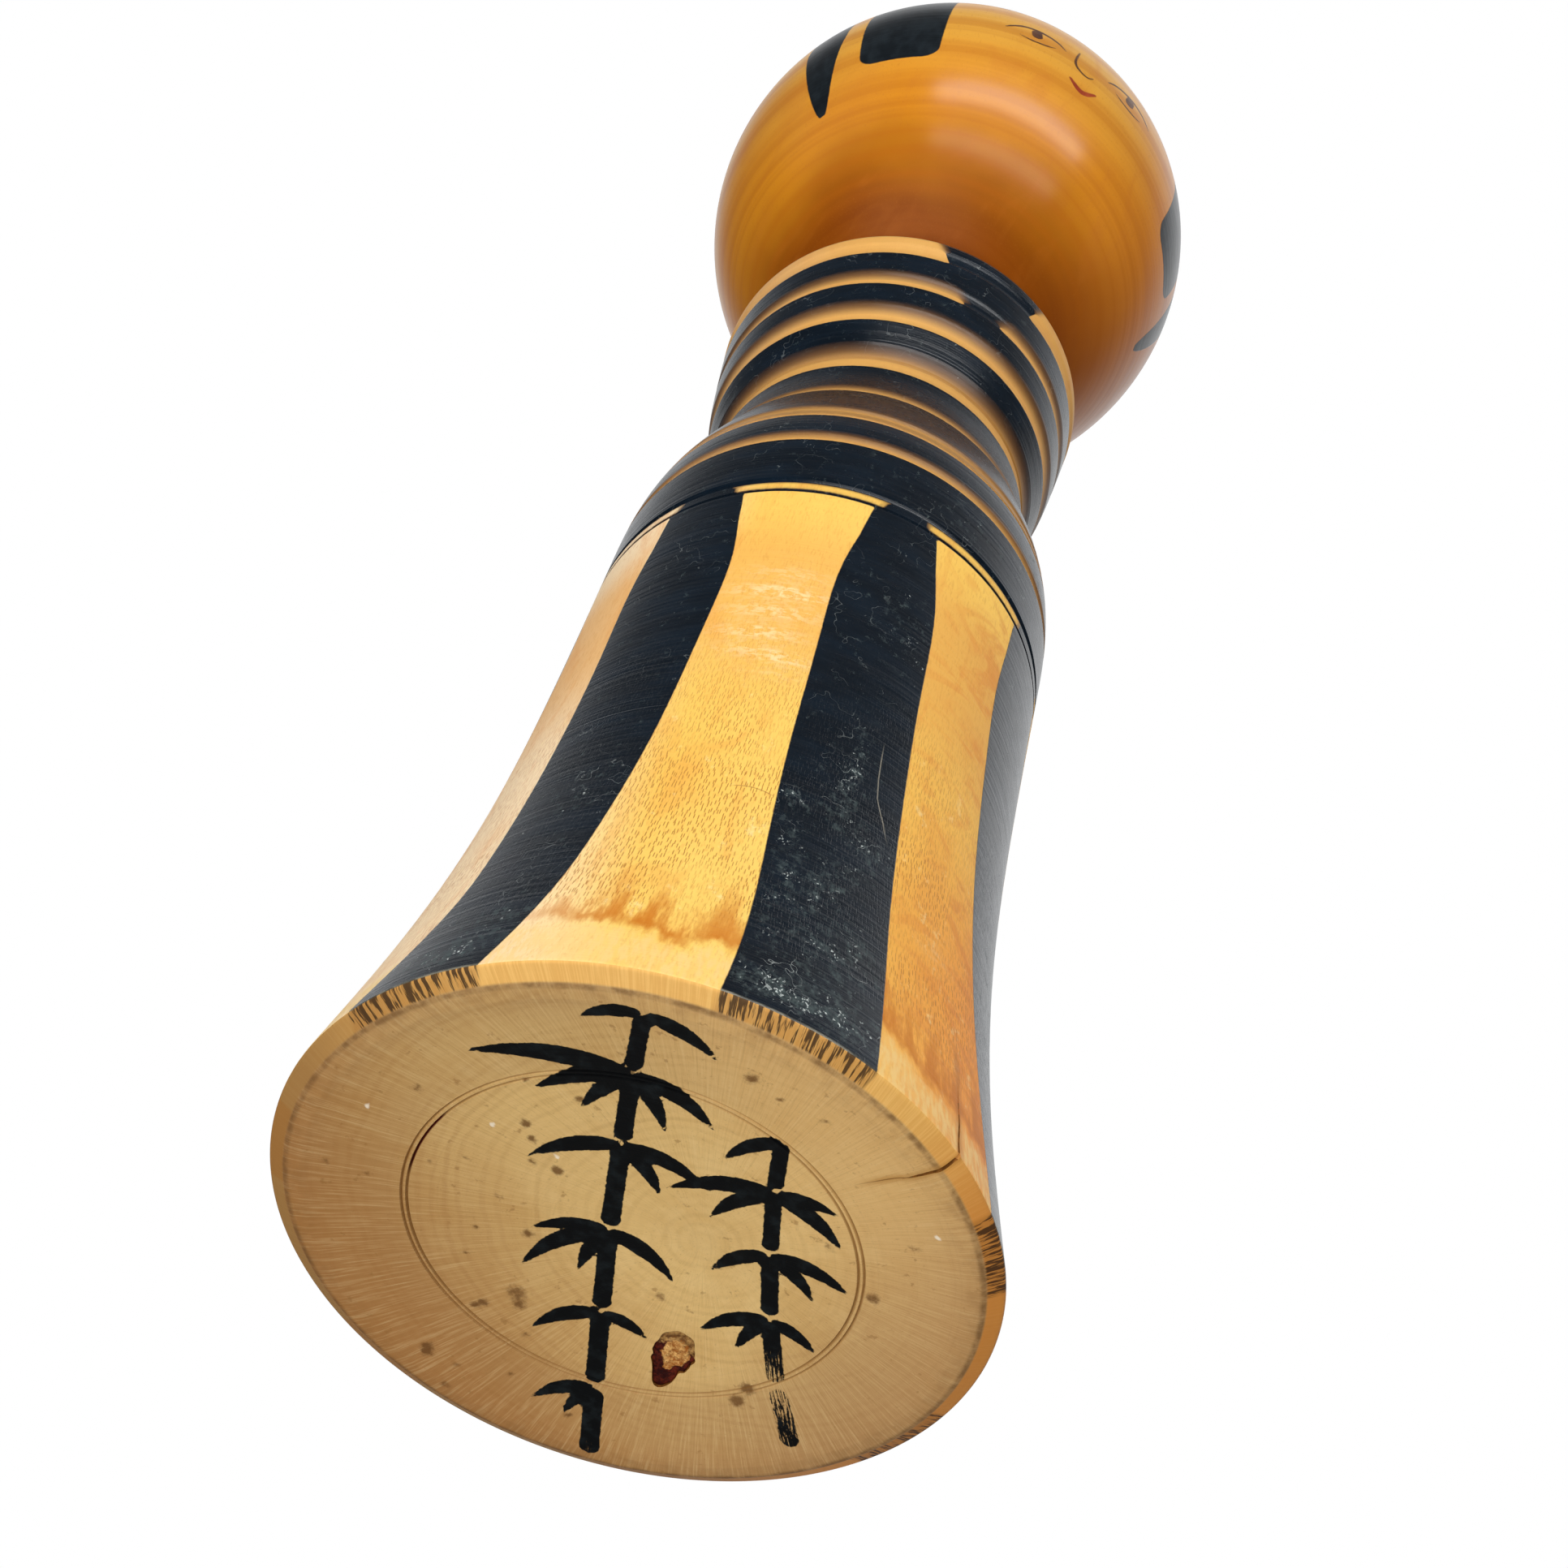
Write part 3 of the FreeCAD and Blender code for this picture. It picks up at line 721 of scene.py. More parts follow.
def line_inside(lines, direction, latitude):
    """How far each point is inside the nearest of some brush lines on the head, in mm."""
    best = np.full(len(direction), -9.0)
    near = np.flatnonzero((np.abs(direction) < 34) & (np.abs(latitude) < 46))
    for line in lines:
        stations = np.array(line, float)
        step = np.linspace(0, len(line) - 1, 12 * len(line))
        position = np.arange(len(line))
        path = [np.interp(step, position, stations[:, k]) for k in range(3)]
        if len(line) > 2:
            path[0] = smooth_curve(list(zip(position, stations[:, 0])))(step)
            path[1] = smooth_curve(list(zip(position, stations[:, 1])))(step)
        level = np.cos(np.radians(latitude[near]))[:, None]
        dx = (direction[near][:, None] - path[0][None]) * HEAD_DEGREE * level
        dy = (latitude[near][:, None] - path[1][None]) * HEAD_DEGREE
        best[near] = np.maximum(best[near], (path[2][None] - np.hypot(dx, dy)).max(1))
    return best


def band_inside(bands, latitude):
    """How far each point is inside the nearest of some level bands, in mm."""
    inside = [np.minimum(latitude - low, high - latitude) for low, high in bands]
    return np.max(inside, axis=0) * HEAD_DEGREE


def hair_inside(direction, latitude):
    """How far each point is inside the hanging locks and the bangs, in mm."""
    best = np.full(len(direction), -99.0)
    level = np.cos(np.radians(latitude))
    for middle, half_top, half_low, low, high, round_off in LOCKS:
        share = np.clip((latitude - low) / 30.0, 0, 1)
        half = half_low + (half_top - half_low) * np.sqrt(share)
        side = (half - np.abs(turn_between(direction, middle))) * HEAD_DEGREE * level
        end = (latitude - low) * HEAD_DEGREE
        corner = round_off - np.hypot(np.minimum(side - round_off, 0), np.minimum(end - round_off, 0))
        inside = np.where((side < round_off) & (end < round_off), corner, np.minimum(side, end))
        best = np.maximum(best, np.minimum(inside, (high - latitude) * HEAD_DEGREE))
    for middle, low in BANGS:
        side = (2.2 - np.abs(direction - middle)) * HEAD_DEGREE * level
        side = side - np.clip(low + 3.0 - latitude, 0, 3) * 0.45
        bang = np.minimum(np.minimum(side, (latitude - low) * HEAD_DEGREE), (48 - latitude) * HEAD_DEGREE)
        best = np.maximum(best, bang)
    return best


def make_head():
    """The head with its neck and tenon, one turning."""
    front = np.arange(-32.0, 32.0, 0.42)
    back = np.linspace(32.0, 328.0, 230, endpoint=False)
    piece = turned("turned_head", head_outline(), np.concatenate([front, back]))
    x, y, height = positions(piece)
    direction = direction_of(x, y)
    rise = (height - HEAD_CENTRE) * np.where(height > HEAD_CENTRE, HEAD_RADIUS / CROWN_HEIGHT, 1.0)
    latitude = np.degrees(np.arctan2(rise, np.maximum(np.hypot(x, y), 1e-6)))
    ball = latitude > -62
    black = np.maximum(hair_inside(direction, latitude), band_inside(CROWN_BLACK, latitude))
    store(piece, "black", np.where(ball, black, -9.0))
    store(piece, "face", line_inside(FACE_LINES, direction, latitude))
    store(piece, "red", np.maximum(line_inside(MOUTH_LINES, direction, latitude),
                                   band_inside(CROWN_RED, latitude)))
    store(piece, "green", band_inside(CROWN_GREEN, latitude))
    piece.data.set_sharp_from_angle(angle=SHARP_ANGLE)
    return piece


def tail_share(number, count):
    """How much further in the bark reaches at a point of the knot's outline: most at its tail."""
    t = 2 * math.pi * number / count
    from_tail = min(t, 2 * math.pi - t)
    return 0.24 * math.exp(-(from_tail / 0.8) ** 2) + 0.10 * math.sin(t)


def make_knot():
    """The dead knot: a crumbly core in a ragged ring of dark bark, worn level with the foot."""
    rings = 22
    outline = knot_outline(-0.02)
    count = len(outline)
    vertices = []
    for ring in range(1, rings + 1):
        share = ring / rings
        for i, (x, y) in enumerate(outline):
            px = KNOT_PLACE[0] + (x - KNOT_PLACE[0]) * share
            py = KNOT_PLACE[1] + (y - KNOT_PLACE[1]) * share
            rough = random_field.fractal(Vector((px * 1.7, py * 1.7, 3.0)), 0.9, 2.0, 4)
            bark = min(max((share + tail_share(i, count) - 0.62 + 0.10 * rough) / 0.12, 0), 1)
            face = hollow_height(math.hypot(px, py)) + 0.10
            relief = 0.16 * rough * (1 - bark) + bark * (0.13 * rough + 0.10)
            vertices.append((px, py, face + max(relief, -0.08)))
    middle = (KNOT_PLACE[0], KNOT_PLACE[1], hollow_height(math.hypot(*KNOT_PLACE)) + 0.12)
    top = [(x, y, KNOT_TOP - 0.1) for x, y in outline]
    vertices += top
    vertices += [middle, (KNOT_PLACE[0], KNOT_PLACE[1], KNOT_TOP - 0.1)]
    centre, cap = len(vertices) - 2, len(vertices) - 1
    faces = []
    for i in range(count):
        j = (i + 1) % count
        faces.append((centre, j, i))
        for ring in range(rings):
            low, high = ring * count, (ring + 1) * count
            faces.append((low + i, low + j, high + j, high + i))
        faces.append((rings * count + i, rings * count + j, cap))
    piece = make_mesh("foot_knot", vertices, faces)
    shares = np.repeat(np.arange(1, rings + 1) / rings, count)
    thicker = np.tile([tail_share(i, count) for i in range(count)], rings)
    store(piece, "outwards", np.concatenate([shares + thicker, np.ones(count), [0, 1]]))
    at_end = np.tile([max(0.0, -math.cos(2 * math.pi * i / count)) for i in range(count)], rings)
    store(piece, "inner_end", np.concatenate([shares * at_end ** 0.5 * 0.95, np.zeros(count + 2)]))
    return piece


# ---------------------------------------------------------------- materials
def colour(red, green, blue):
    """Linear light for a colour given as it shows on a screen, 0 to 255."""
    parts = [c / 255 for c in (red, green, blue)]
    return tuple(c / 12.92 if c <= 0.04045 else ((c + 0.055) / 1.055) ** 2.4 for c in parts) + (1.0,)


class Field:
    """A node's output: a number, a vector or a colour at each point. Arithmetic on it adds nodes."""

    def __init__(self, shading, socket):
        self.shading = shading
        self.socket = socket

    def __add__(self, other):
        return self.shading.math("ADD", self, other)

    def __sub__(self, other):
        return self.shading.math("SUBTRACT", self, other)

    def __rsub__(self, other):
        return self.shading.math("SUBTRACT", other, self)

    def __mul__(self, other):
        return self.shading.math("MULTIPLY", self, other)

    def rise(self, low, high, top=1.0, bottom=0.0, smooth=True):
        """Goes from bottom to top as this field goes from low to high, and is level outside them."""
        inputs = {"Value": self, "From Min": low, "From Max": high, "To Min": bottom, "To Max": top}
        return self.shading.add("MapRange", inputs, interpolation_type="SMOOTHSTEP" if smooth else "LINEAR")


class Shading:
    """A material or world built by short calls. A value is a number, a vector, a colour or a Field."""

    def __init__(self, owner):
        owner.use_nodes = True
        self.owner = owner
        self.tree = owner.node_tree
        self.tree.nodes.clear()
        self.place = self.scaled(self.add("TexCoord", {}, "Object"), 1 / MM)
        self.x, self.y, self.z = self.parts(self.place)

    def set(self, socket, value):
        if isinstance(value, Field):
            self.tree.links.new(value.socket, socket)
        else:
            socket.default_value = value

    def add(self, kind, inputs, output=0, **settings):
        """Adds a node with its settings and inputs, and gives one of its outputs."""
        node = self.tree.nodes.new("ShaderNode" + kind)
        for name, value in settings.items():
            setattr(node, name, value)
        for name, value in inputs.items():
            self.set(node.inputs[name], value)
        return Field(self, node.outputs[output])

    def vector(self, operation, a, b=(0, 0, 0)):
        output = "Value" if operation in ("LENGTH", "DOT_PRODUCT") else "Vector"
        return self.add("VectorMath", {0: a, 1: b}, output, operation=operation)

    def scaled(self, vector, scale):
        return self.add("VectorMath", {0: vector, "Scale": scale}, operation="SCALE")

    def math(self, operation, a, b=0.0, clamp=False):
        return self.add("Math", {0: a, 1: b}, operation=operation, use_clamp=clamp)

    def parts(self, vector):
        """The x, y and z of a vector."""
        separate = self.add("SeparateXYZ", {0: vector}).socket.node
        return [Field(self, output) for output in separate.outputs]

    def joined(self, x, y=0.0, z=0.0):
        return self.add("CombineXYZ", {0: x, 1: y, 2: z})

    def stored(self, name):
        """A number kept in the mesh."""
        return self.add("Attribute", {}, "Fac", attribute_name=name)

    def noise(self, stretch, detail=2.0, roughness=0.5, distortion=0.0, place=None):
        """Noise at stretch cycles per mm: one number, or one each for x, y and z."""
        if isinstance(stretch, (int, float)):
            stretch = (stretch, stretch, stretch)
        stretched = self.vector("MULTIPLY", place or self.place, stretch)
        inputs = {"Vector": stretched, "Scale": 1.0, "Detail": detail, "Roughness": roughness}
        return self.add("TexNoise", {**inputs, "Distortion": distortion}, "Fac")

    def round_the_wall(self):
        """The way round the wall from the front, in mm."""
        return self.math("ARCTAN2", self.x, self.y * -1.0) * GIRTH

    def dashes(self, across, up, half_width, half_length):
        """1 on short upright strokes scattered over the wall, at across and up strokes per mm."""
        spot = self.joined(self.round_the_wall() * across, self.z * up)
        inputs = {"Scale": 1.0, "Vector": spot}
        nearest = self.add("TexVoronoi", inputs, "Position", voronoi_dimensions="2D")
        aside, along, _ = self.parts(self.vector("SUBTRACT", spot, nearest))
        thin = self.line(aside, 0.3 * half_width * across, half_width * across)
        return thin * self.line(along, 0.4 * half_length * up, half_length * up)

    def spots(self, density, largest):
        """1 on small ragged spots of every size up to largest, at density spots per mm in x, y and z."""
        ragged = self.joined(self.noise(2.6), self.noise((2.6, 2.2, 2.9)), self.noise((2.9, 2.6, 2.2)))
        dense = self.vector("MULTIPLY", self.place, density)
        spot = self.vector("ADD", dense, self.scaled(ragged, 1.8))
        distance = self.add("TexVoronoi", {"Scale": 1.0, "Vector": spot}, "Distance")
        return distance.rise(largest, largest * 0.5)

    def line(self, distance, core, fade):
        """1 where a signed distance is within core of zero, falling to 0 at fade."""
        return self.math("ABSOLUTE", distance).rise(fade, core)

    def mix(self, amount, a, b):
        """From a to b as the amount goes from 0 to 1. A colour is as it shows on a screen."""
        a, b = (colour(*value) if isinstance(value, tuple) else value for value in (a, b))
        return self.add("Mix", {"Factor": amount, "A": a, "B": b}, "Result", data_type="RGBA")

    def layered(self, base, *layers):
        """Colours laid over a base in turn. Each layer is how much of it there is, and its colour."""
        for amount, paint in layers:
            base = self.mix(amount, base, paint)
        return base

    def bump(self, height, distance, strength=1.0, over=None):
        """The surface's direction with a relief of distance in mm, laid over another relief."""
        inputs = {"Height": height, "Distance": distance * MM, "Strength": strength}
        if over:
            inputs["Normal"] = over
        return self.add("Bump", inputs)

    def surface(self, shader, kind="OutputMaterial"):
        output = self.tree.nodes.new("ShaderNode" + kind)
        self.set(output.inputs["Surface"], shader)

    def finish(self, base, roughness, normal, **constants):
        """Closes a material. The constants are set on the shader's own sockets."""
        inputs = {"Base Color": base, "Roughness": roughness, "Normal": normal}
        inputs.update({name.replace("_", " "): value for name, value in constants.items()})
        self.surface(self.add("BsdfPrincipled", inputs))
        return self.owner


def new_material(name):
    return Shading(bpy.data.materials.new(name))


def tidemark(s):
    """How much there is of the brown tidemark above the foot, and of the pale streaks below it."""
    start = s.z - s.noise((0.12, 0.12, 0.0)).rise(0.3, 0.7, bottom=5.4, top=7.8)
    start = start + (s.noise((1.1, 1.1, 0.5), 3.0) - 0.5) * 3.0
    spike = s.noise((0.5, 0.5, 0.03), 4.0, 0.7)
    reach = spike.rise(0.4, 0.68, smooth=False) * 13.0 + 2.8
    tide = start.rise(-0.7, 1.1) * (1.0 - start.rise(-0.5, reach))
    patchy = s.noise((0.2, 0.2, 0.0)).rise(0.35, 0.6, bottom=0.85)
    faded_side = s.x.rise(-29.0, -18.0, bottom=0.2)
    streaks = s.noise((2.2, 2.2, 0.35), 3.0).rise(0.38, 0.62, bottom=0.3, top=0.8)
    return tide * (patchy * faded_side), start.rise(0.0, -2.0) * streaks


def nick_line(s):
    """The fine arched line in the front panel."""
    place, height, half_length = NICK
    sideways = s.round_the_wall() - place
    arched = s.z + sideways * sideways * 0.12
    return s.line(arched - height, 0.02, 0.11) * s.line(sideways, half_length * 0.7, half_length)


def wall_wood(s, dashes):
    """The wall's bare wood, with painted shade and a painted glow of light in places."""
    tone = s.noise((0.05, 0.05, 0.02))
    # the orange of the doll's left side: partly the wood's own tone, partly painted shade
    warm_and_shaded = s.mix(s.z.rise(20, 55), (246, 152, 36), (255, 202, 88))
    figure = s.noise((0.22, 0.22, 0.05), 3.0, 0.55, 1.6)
    flame = s.noise((0.1, 0.1, 0.16), 3.0, 0.6, 2.2).rise(0.46, 0.66, 0.6) * s.stored("warm_and_shaded")
    fibre = s.noise((5.0, 5.0, 0.8), 3.0, 0.6)
    smudge = s.noise((0.55, 0.55, 0.35), 4.0, 0.7).rise(0.6, 0.72) * s.z.rise(60, 40)
    tide, pale_streaks = tidemark(s)
    rows = s.math("SINE", s.z * (2 * math.pi / RUB_SPACING)).rise(-0.4, 0.5, bottom=0.35)
    rub = s.stored("rubbed") * s.noise((0.9, 0.9, 1.5), 5.0, 0.7).rise(0.42, 0.58)
    return s.layered(
        s.mix(tone.rise(0.35, 0.65), (249, 207, 104), (241, 193, 88)),
        (s.stored("warm_and_shaded"), warm_and_shaded),
        (s.x.rise(-17.0, -26.0, 0.8), (252, 228, 196)),                  # painted glow of light on the doll's right side
        (s.z.rise(40, 62) * s.z.rise(84, 72) * 0.7, (230, 166, 76)),     # honey-coloured high on the skirt
        (figure.rise(0.5, 0.7, 0.3), (226, 142, 50)),
        (dashes * 0.82, (178, 104, 12)),
        (flame, (222, 128, 36)),
        (fibre.rise(0.5, 0.68, 0.34), (208, 136, 46)),
        (smudge * 0.5, (255, 232, 168)),
        (nick_line(s) * 0.6, (150, 84, 24)),
        (tide, (200, 112, 0)),
        (pale_streaks, (244, 206, 132)),
        (rub * rows * 0.8, (250, 222, 170)),
        (s.z.rise(92.0, 97.0, 0.85), (206, 150, 80)),                    # painted shade: darker and duller on the chest
    )


def black_lacquer(s):
    """The black paint's colour, and how much each point of it is scuffed."""
    worn = s.stored("scuffed")
    cloud = s.noise((0.12, 0.12, 0.3), 4.0, 0.6)
    brush_lines = s.noise((0.1, 0.1, 8.0), 3.0, 0.6).rise(0.58, 0.75)
    leathery = s.noise((1.0, 1.0, 0.8), 5.0, 0.7) + worn * 0.17
    fine_leather = s.noise((2.4, 2.4, 2.0), 3.0, 0.7).rise(0.4, 0.64, bottom=0.25)
    mottle = leathery.rise(0.58, 0.79) * fine_leather
    cluster = s.noise((0.6, 0.6, 0.5), 4.0, 0.75) + worn * 0.2
    specks = s.spots((2.7, 2.7, 1.7), 0.34) * cluster.rise(0.65, 0.81)
    hair = s.line(s.noise((0.34, 0.34, 0.26)) - 0.5, 0.001, 0.0045)
    hair_zone = s.noise((0.13, 0.13, 0.1), 3.0, 0.6).rise(0.5, 0.6)
    hair_level = s.math("MULTIPLY", hair_zone, worn * 0.6 + 0.25, clamp=True)
    scratch = s.line(s.stored("scratch"), 0.02, 0.1) * s.stored("scratch_along")
    lip = s.z.rise(1.35, 1.1) * s.noise(0.6, 3.0).rise(0.4, 0.6, bottom=0.2, top=0.6)
    lacquer = s.layered(
        s.mix(cloud.rise(0.35, 0.7), (3, 13, 23), (8, 22, 34)),
        (brush_lines * 0.05, (120, 128, 130)),
        (mottle * 0.42, (100, 116, 114)),
        (specks * 0.9, (206, 214, 210)),
        (hair * hair_level, (150, 156, 154)),
        (scratch * 0.5, (176, 168, 150)),
        (lip, (150, 146, 128)),
    )
    return lacquer, s.math("MAXIMUM", specks, mottle)


def wall_material():
    """Waxed pale wood and satin black lacquer. A soft edge of the paint passes through brown."""
    s = new_material("painted_wall")
    dash_zone = s.z.rise(70, 34) * s.z.rise(7, 13)
    dash_zone = dash_zone * s.noise((0.14, 0.14, 0.1)).rise(0.36, 0.58, bottom=0.4)
    dashes = s.dashes(2.7, 1.15, 0.06, 0.5) * dash_zone
    waver = (s.noise(1.6, 3.0, 0.6) - 0.5) * 0.1
    soft = s.stored("soft")
    bare = (s.stored("bare") + waver).rise(soft * -1.0, soft)
    wood = s.mix(bare.rise(0.95, 0.25, 0.8), wall_wood(s, dashes), (142, 90, 40))
    lacquer, scuffed = black_lacquer(s)
    cracked = s.stored("crack_along") * s.line(s.stored("crack"), 0.1, 0.9)
    base = s.mix(cracked * 0.6, s.mix(bare, lacquer, wood), (190, 112, 36))
    rough = s.noise((0.4, 0.4, 1.0), 3.0) * 0.12 + (bare * 0.3 + 0.2)
    rough = s.math("ADD", rough, scuffed * 0.2, clamp=True)
    normal = s.bump(s.noise((0.02, 0.02, 2.6)), 0.045)
    normal = s.bump(1.0 - dashes, 0.03, 0.8, normal)
    normal = s.bump(1.0 - bare, 0.03, 0.8, normal)
    normal = s.bump(s.noise(1.2, 4.0, 0.6), 0.03, 0.6, normal)
    return s.finish(base, rough, normal, Specular_IOR_Level=0.34)


def end_grain(s, radius, reach, shaded, rays, turning):
    """The foot's wood: growth rings and rays round the pith, turning marks, flecks and grime, with painted
    shade and light across it.
    """
    age = reach + s.noise((0.1, 0.1, 0.0)) * 2.2
    age = age + s.noise((0.5, 0.5, 0.0)) * 0.5
    wave = s.math("SINE", age * (2 * math.pi / RING_SPACING))
    year = s.noise((0.35, 0.0, 0.0), 3.0, place=s.joined(age))
    rings = wave.rise(-0.5, 1.0) * year.rise(0.35, 0.65, bottom=0.1)
    stain = s.noise(0.09, 3.0, 0.6)
    pale = s.noise(0.25, 4.0, 0.65).rise(0.46, 0.66) * reach.rise(22.0, 8.0)
    pores = s.noise(4.5, 2.0, 0.6)
    fleck = s.stored("flecks") + s.noise(2.4, 3.0, 0.7) * 0.6
    motes = s.noise(0.8, 3.0, 0.6)
    first_ring = s.line(radius - FOOT_RINGS[0], 0.05, 0.16)
    second_ring = s.line(radius - FOOT_RINGS[1], 0.03, 0.13)
    red_side = s.x.rise(-18.6, -19.4) * (s.y.rise(-3.0, -1.5) * s.y.rise(8.0, 5.5))
    grime = s.noise(0.5, 4.0, 0.65)
    edge_grime = s.line(radius - STANDING_RADIUS - 0.05, 0.05, 0.5) * grime.rise(0.35, 0.65, bottom=0.35)
    rim_dirt = radius.rise(27.5, STANDING_RADIUS) * grime.rise(0.4, 0.7, bottom=0.05, top=0.35)
    return s.layered(
        s.mix(radius.rise(22.0, 18.0), (206, 168, 108), (222, 184, 118)),
        (radius.rise(25.0, 31.0, 0.6), (186, 144, 92)),
        (stain.rise(0.42, 0.7, 0.4), (196, 150, 84)),
        (rings * 0.26, (172, 126, 68)),
        # painted shade and light across the foot: darker towards +Y and -X, lighter towards -Y, darker
        # towards +X
        (shaded.rise(-2.0, 27.0, 0.75), (156, 102, 52)),
        (shaded.rise(-8.0, -26.0, 0.5), (234, 188, 120)),
        (s.x.rise(10.0, 28.0, 0.6), (168, 124, 80)),
        (reach.rise(15.0, 3.0, 0.25), (234, 196, 126)),
        (pale * 0.35, (238, 204, 140)),
        (rays.rise(0.46, 0.62, 0.16), (232, 200, 142)),
        (rays.rise(0.6, 0.7, 0.1), (244, 218, 166)),
        (rays.rise(0.44, 0.34, 0.16), (150, 108, 58)),
        (pores.rise(0.6, 0.74, 0.3), (156, 114, 62)),
        (turning.rise(0.5, 0.72, 0.14), (156, 116, 70)),
        (fleck.rise(0.36, 0.85, 0.85), (104, 66, 30)),
        (s.stored("chips").rise(0.25, 0.55, 0.8), (250, 236, 212)),
        (motes.rise(0.64, 0.73, 0.5), (148, 104, 54)),
        (s.math("MAXIMUM", first_ring, second_ring) * 0.6, (140, 98, 46)),
        (first_ring * red_side, (74, 18, 12)),
        (edge_grime * 0.7, (96, 64, 32)),
        (rim_dirt, (130, 92, 52)),
    )


def chamfer_wood(s, radius, way_x, way_y, shaded, rays):
    """The chamfer's cleaner wood, with black lacquer bled into it under the black stripes."""
    under_black = s.stored("bare").rise(0.3, -0.3)
    bleed_place = s.joined(way_x * 90.0, way_y * 90.0, radius * 0.3)
    bleed_field = s.noise(1, 3.0, 0.65, place=bleed_place)
    bleed_level = radius.rise(30.6, FOOT_RADIUS, bottom=0.51, top=0.44, smooth=False)
    bleed = (bleed_field - bleed_level).rise(0.0, 0.08) * under_black
    stained_side = s.math("MAXIMUM", s.x.rise(-24.0, -10.0), s.y.rise(4.0, -4.0))
    bleed = bleed * (stained_side * s.y.rise(24.0, 16.0))
    return s.layered(
        s.mix(rays.rise(0.4, 0.65), (222, 168, 88), (232, 182, 102)),
        (s.x.rise(6.0, 22.0, 0.8), (206, 128, 50)),
        (shaded.rise(-6.0, 18.0, 0.85), (146, 106, 60)),
        (under_black * 0.45, (158, 102, 42)),
        (bleed * 0.88, (44, 28, 18)),
    )


def brush_ink(s):
    """How much ink covers each point of the foot: full in a stroke, broken into hairs where it is dry."""
    hair_place = s.joined(s.stored("across") * 5.5, s.stored("along") * 0.35)
    hairs = s.noise(1, 3.0, 0.65, place=hair_place)
    gaps = hairs * 0.7 + s.noise(3.2, 4.0, 0.7) * 0.3
    covered = (gaps + 0.5 - s.stored("dry")).rise(0.02, 0.12)
    ragged = (s.noise(1.8, 4.0, 0.65) - 0.5) * 0.34
    return (s.stored("brush") + ragged).rise(-0.05, 0.05) * covered


def foot_material():
    """Dry end grain with a chamfered edge, a crack and brush ink, the ink with a painted sheen."""
    s = new_material("end_grain")
    flat = s.vector("MULTIPLY", s.place, (1, 1, 0))
    radius = s.vector("LENGTH", flat)
    from_pith = s.vector("SUBTRACT", flat, (PITH[0], PITH[1], 0))
    reach = s.vector("LENGTH", from_pith)
    way_x, way_y, _ = s.parts(s.vector("NORMALIZE", from_pith))
    shaded = s.y * 0.9 - s.x * 0.5
    rays = s.noise(1, 2.0, 0.6, place=s.joined(way_x * 150.0, way_y * 150.0, reach * 0.22))
    turning = s.noise((3.2, 0.0, 0.0), 3.0, 0.65, place=s.joined(radius))
    near_crack = s.stored("crack_along")
    crack = s.stored("crack")
    wood = s.layered(
        end_grain(s, radius, reach, shaded, rays, turning),
        (radius.rise(30.85, 31.1), chamfer_wood(s, radius, way_x, way_y, shaded, rays)),
        (near_crack * s.line(crack, 0.1, 0.7) * 0.55, (176, 122, 52)),
        (near_crack * s.line(crack, 0.02, 0.09) * 0.8, (116, 76, 30)),
    )
    ink = brush_ink(s)
    # painted sheen: lighter grey-green patches in the ink stand in for its glints
    painted_sheen = s.noise(0.6, 4.0, 0.6).rise(0.45, 0.75)
    base = s.mix(ink, wood, s.mix(painted_sheen, (8, 9, 10), (24, 29, 31)))
    normal = s.bump(turning, 0.03, 0.7)
    normal = s.bump(rays, 0.025, 0.6, normal)
    normal = s.bump(ink, 0.03, 0.6, normal)
    return s.finish(base, 0.58 - ink * 0.2, normal, Specular_IOR_Level=0.32)


def raw_material():
    """Torn wood inside the crack and the knot's pocket, and cleaner wood in the socket."""
    s = new_material("raw_wood")
    field = s.noise((1.4, 1.4, 0.5), 4.0, 0.65)
    dark = s.mix(field.rise(0.35, 0.7), (112, 68, 24), (176, 114, 50))
    light = s.mix(field.rise(0.35, 0.7), (196, 152, 96), (226, 186, 128))
    base = s.mix(s.z.rise(16.0, 30.0), dark, light)
    rough = field.rise(0.2, 0.8, bottom=0.6, top=0.8)
    return s.finish(base, rough, s.bump(field, 0.1), Specular_IOR_Level=0.3)


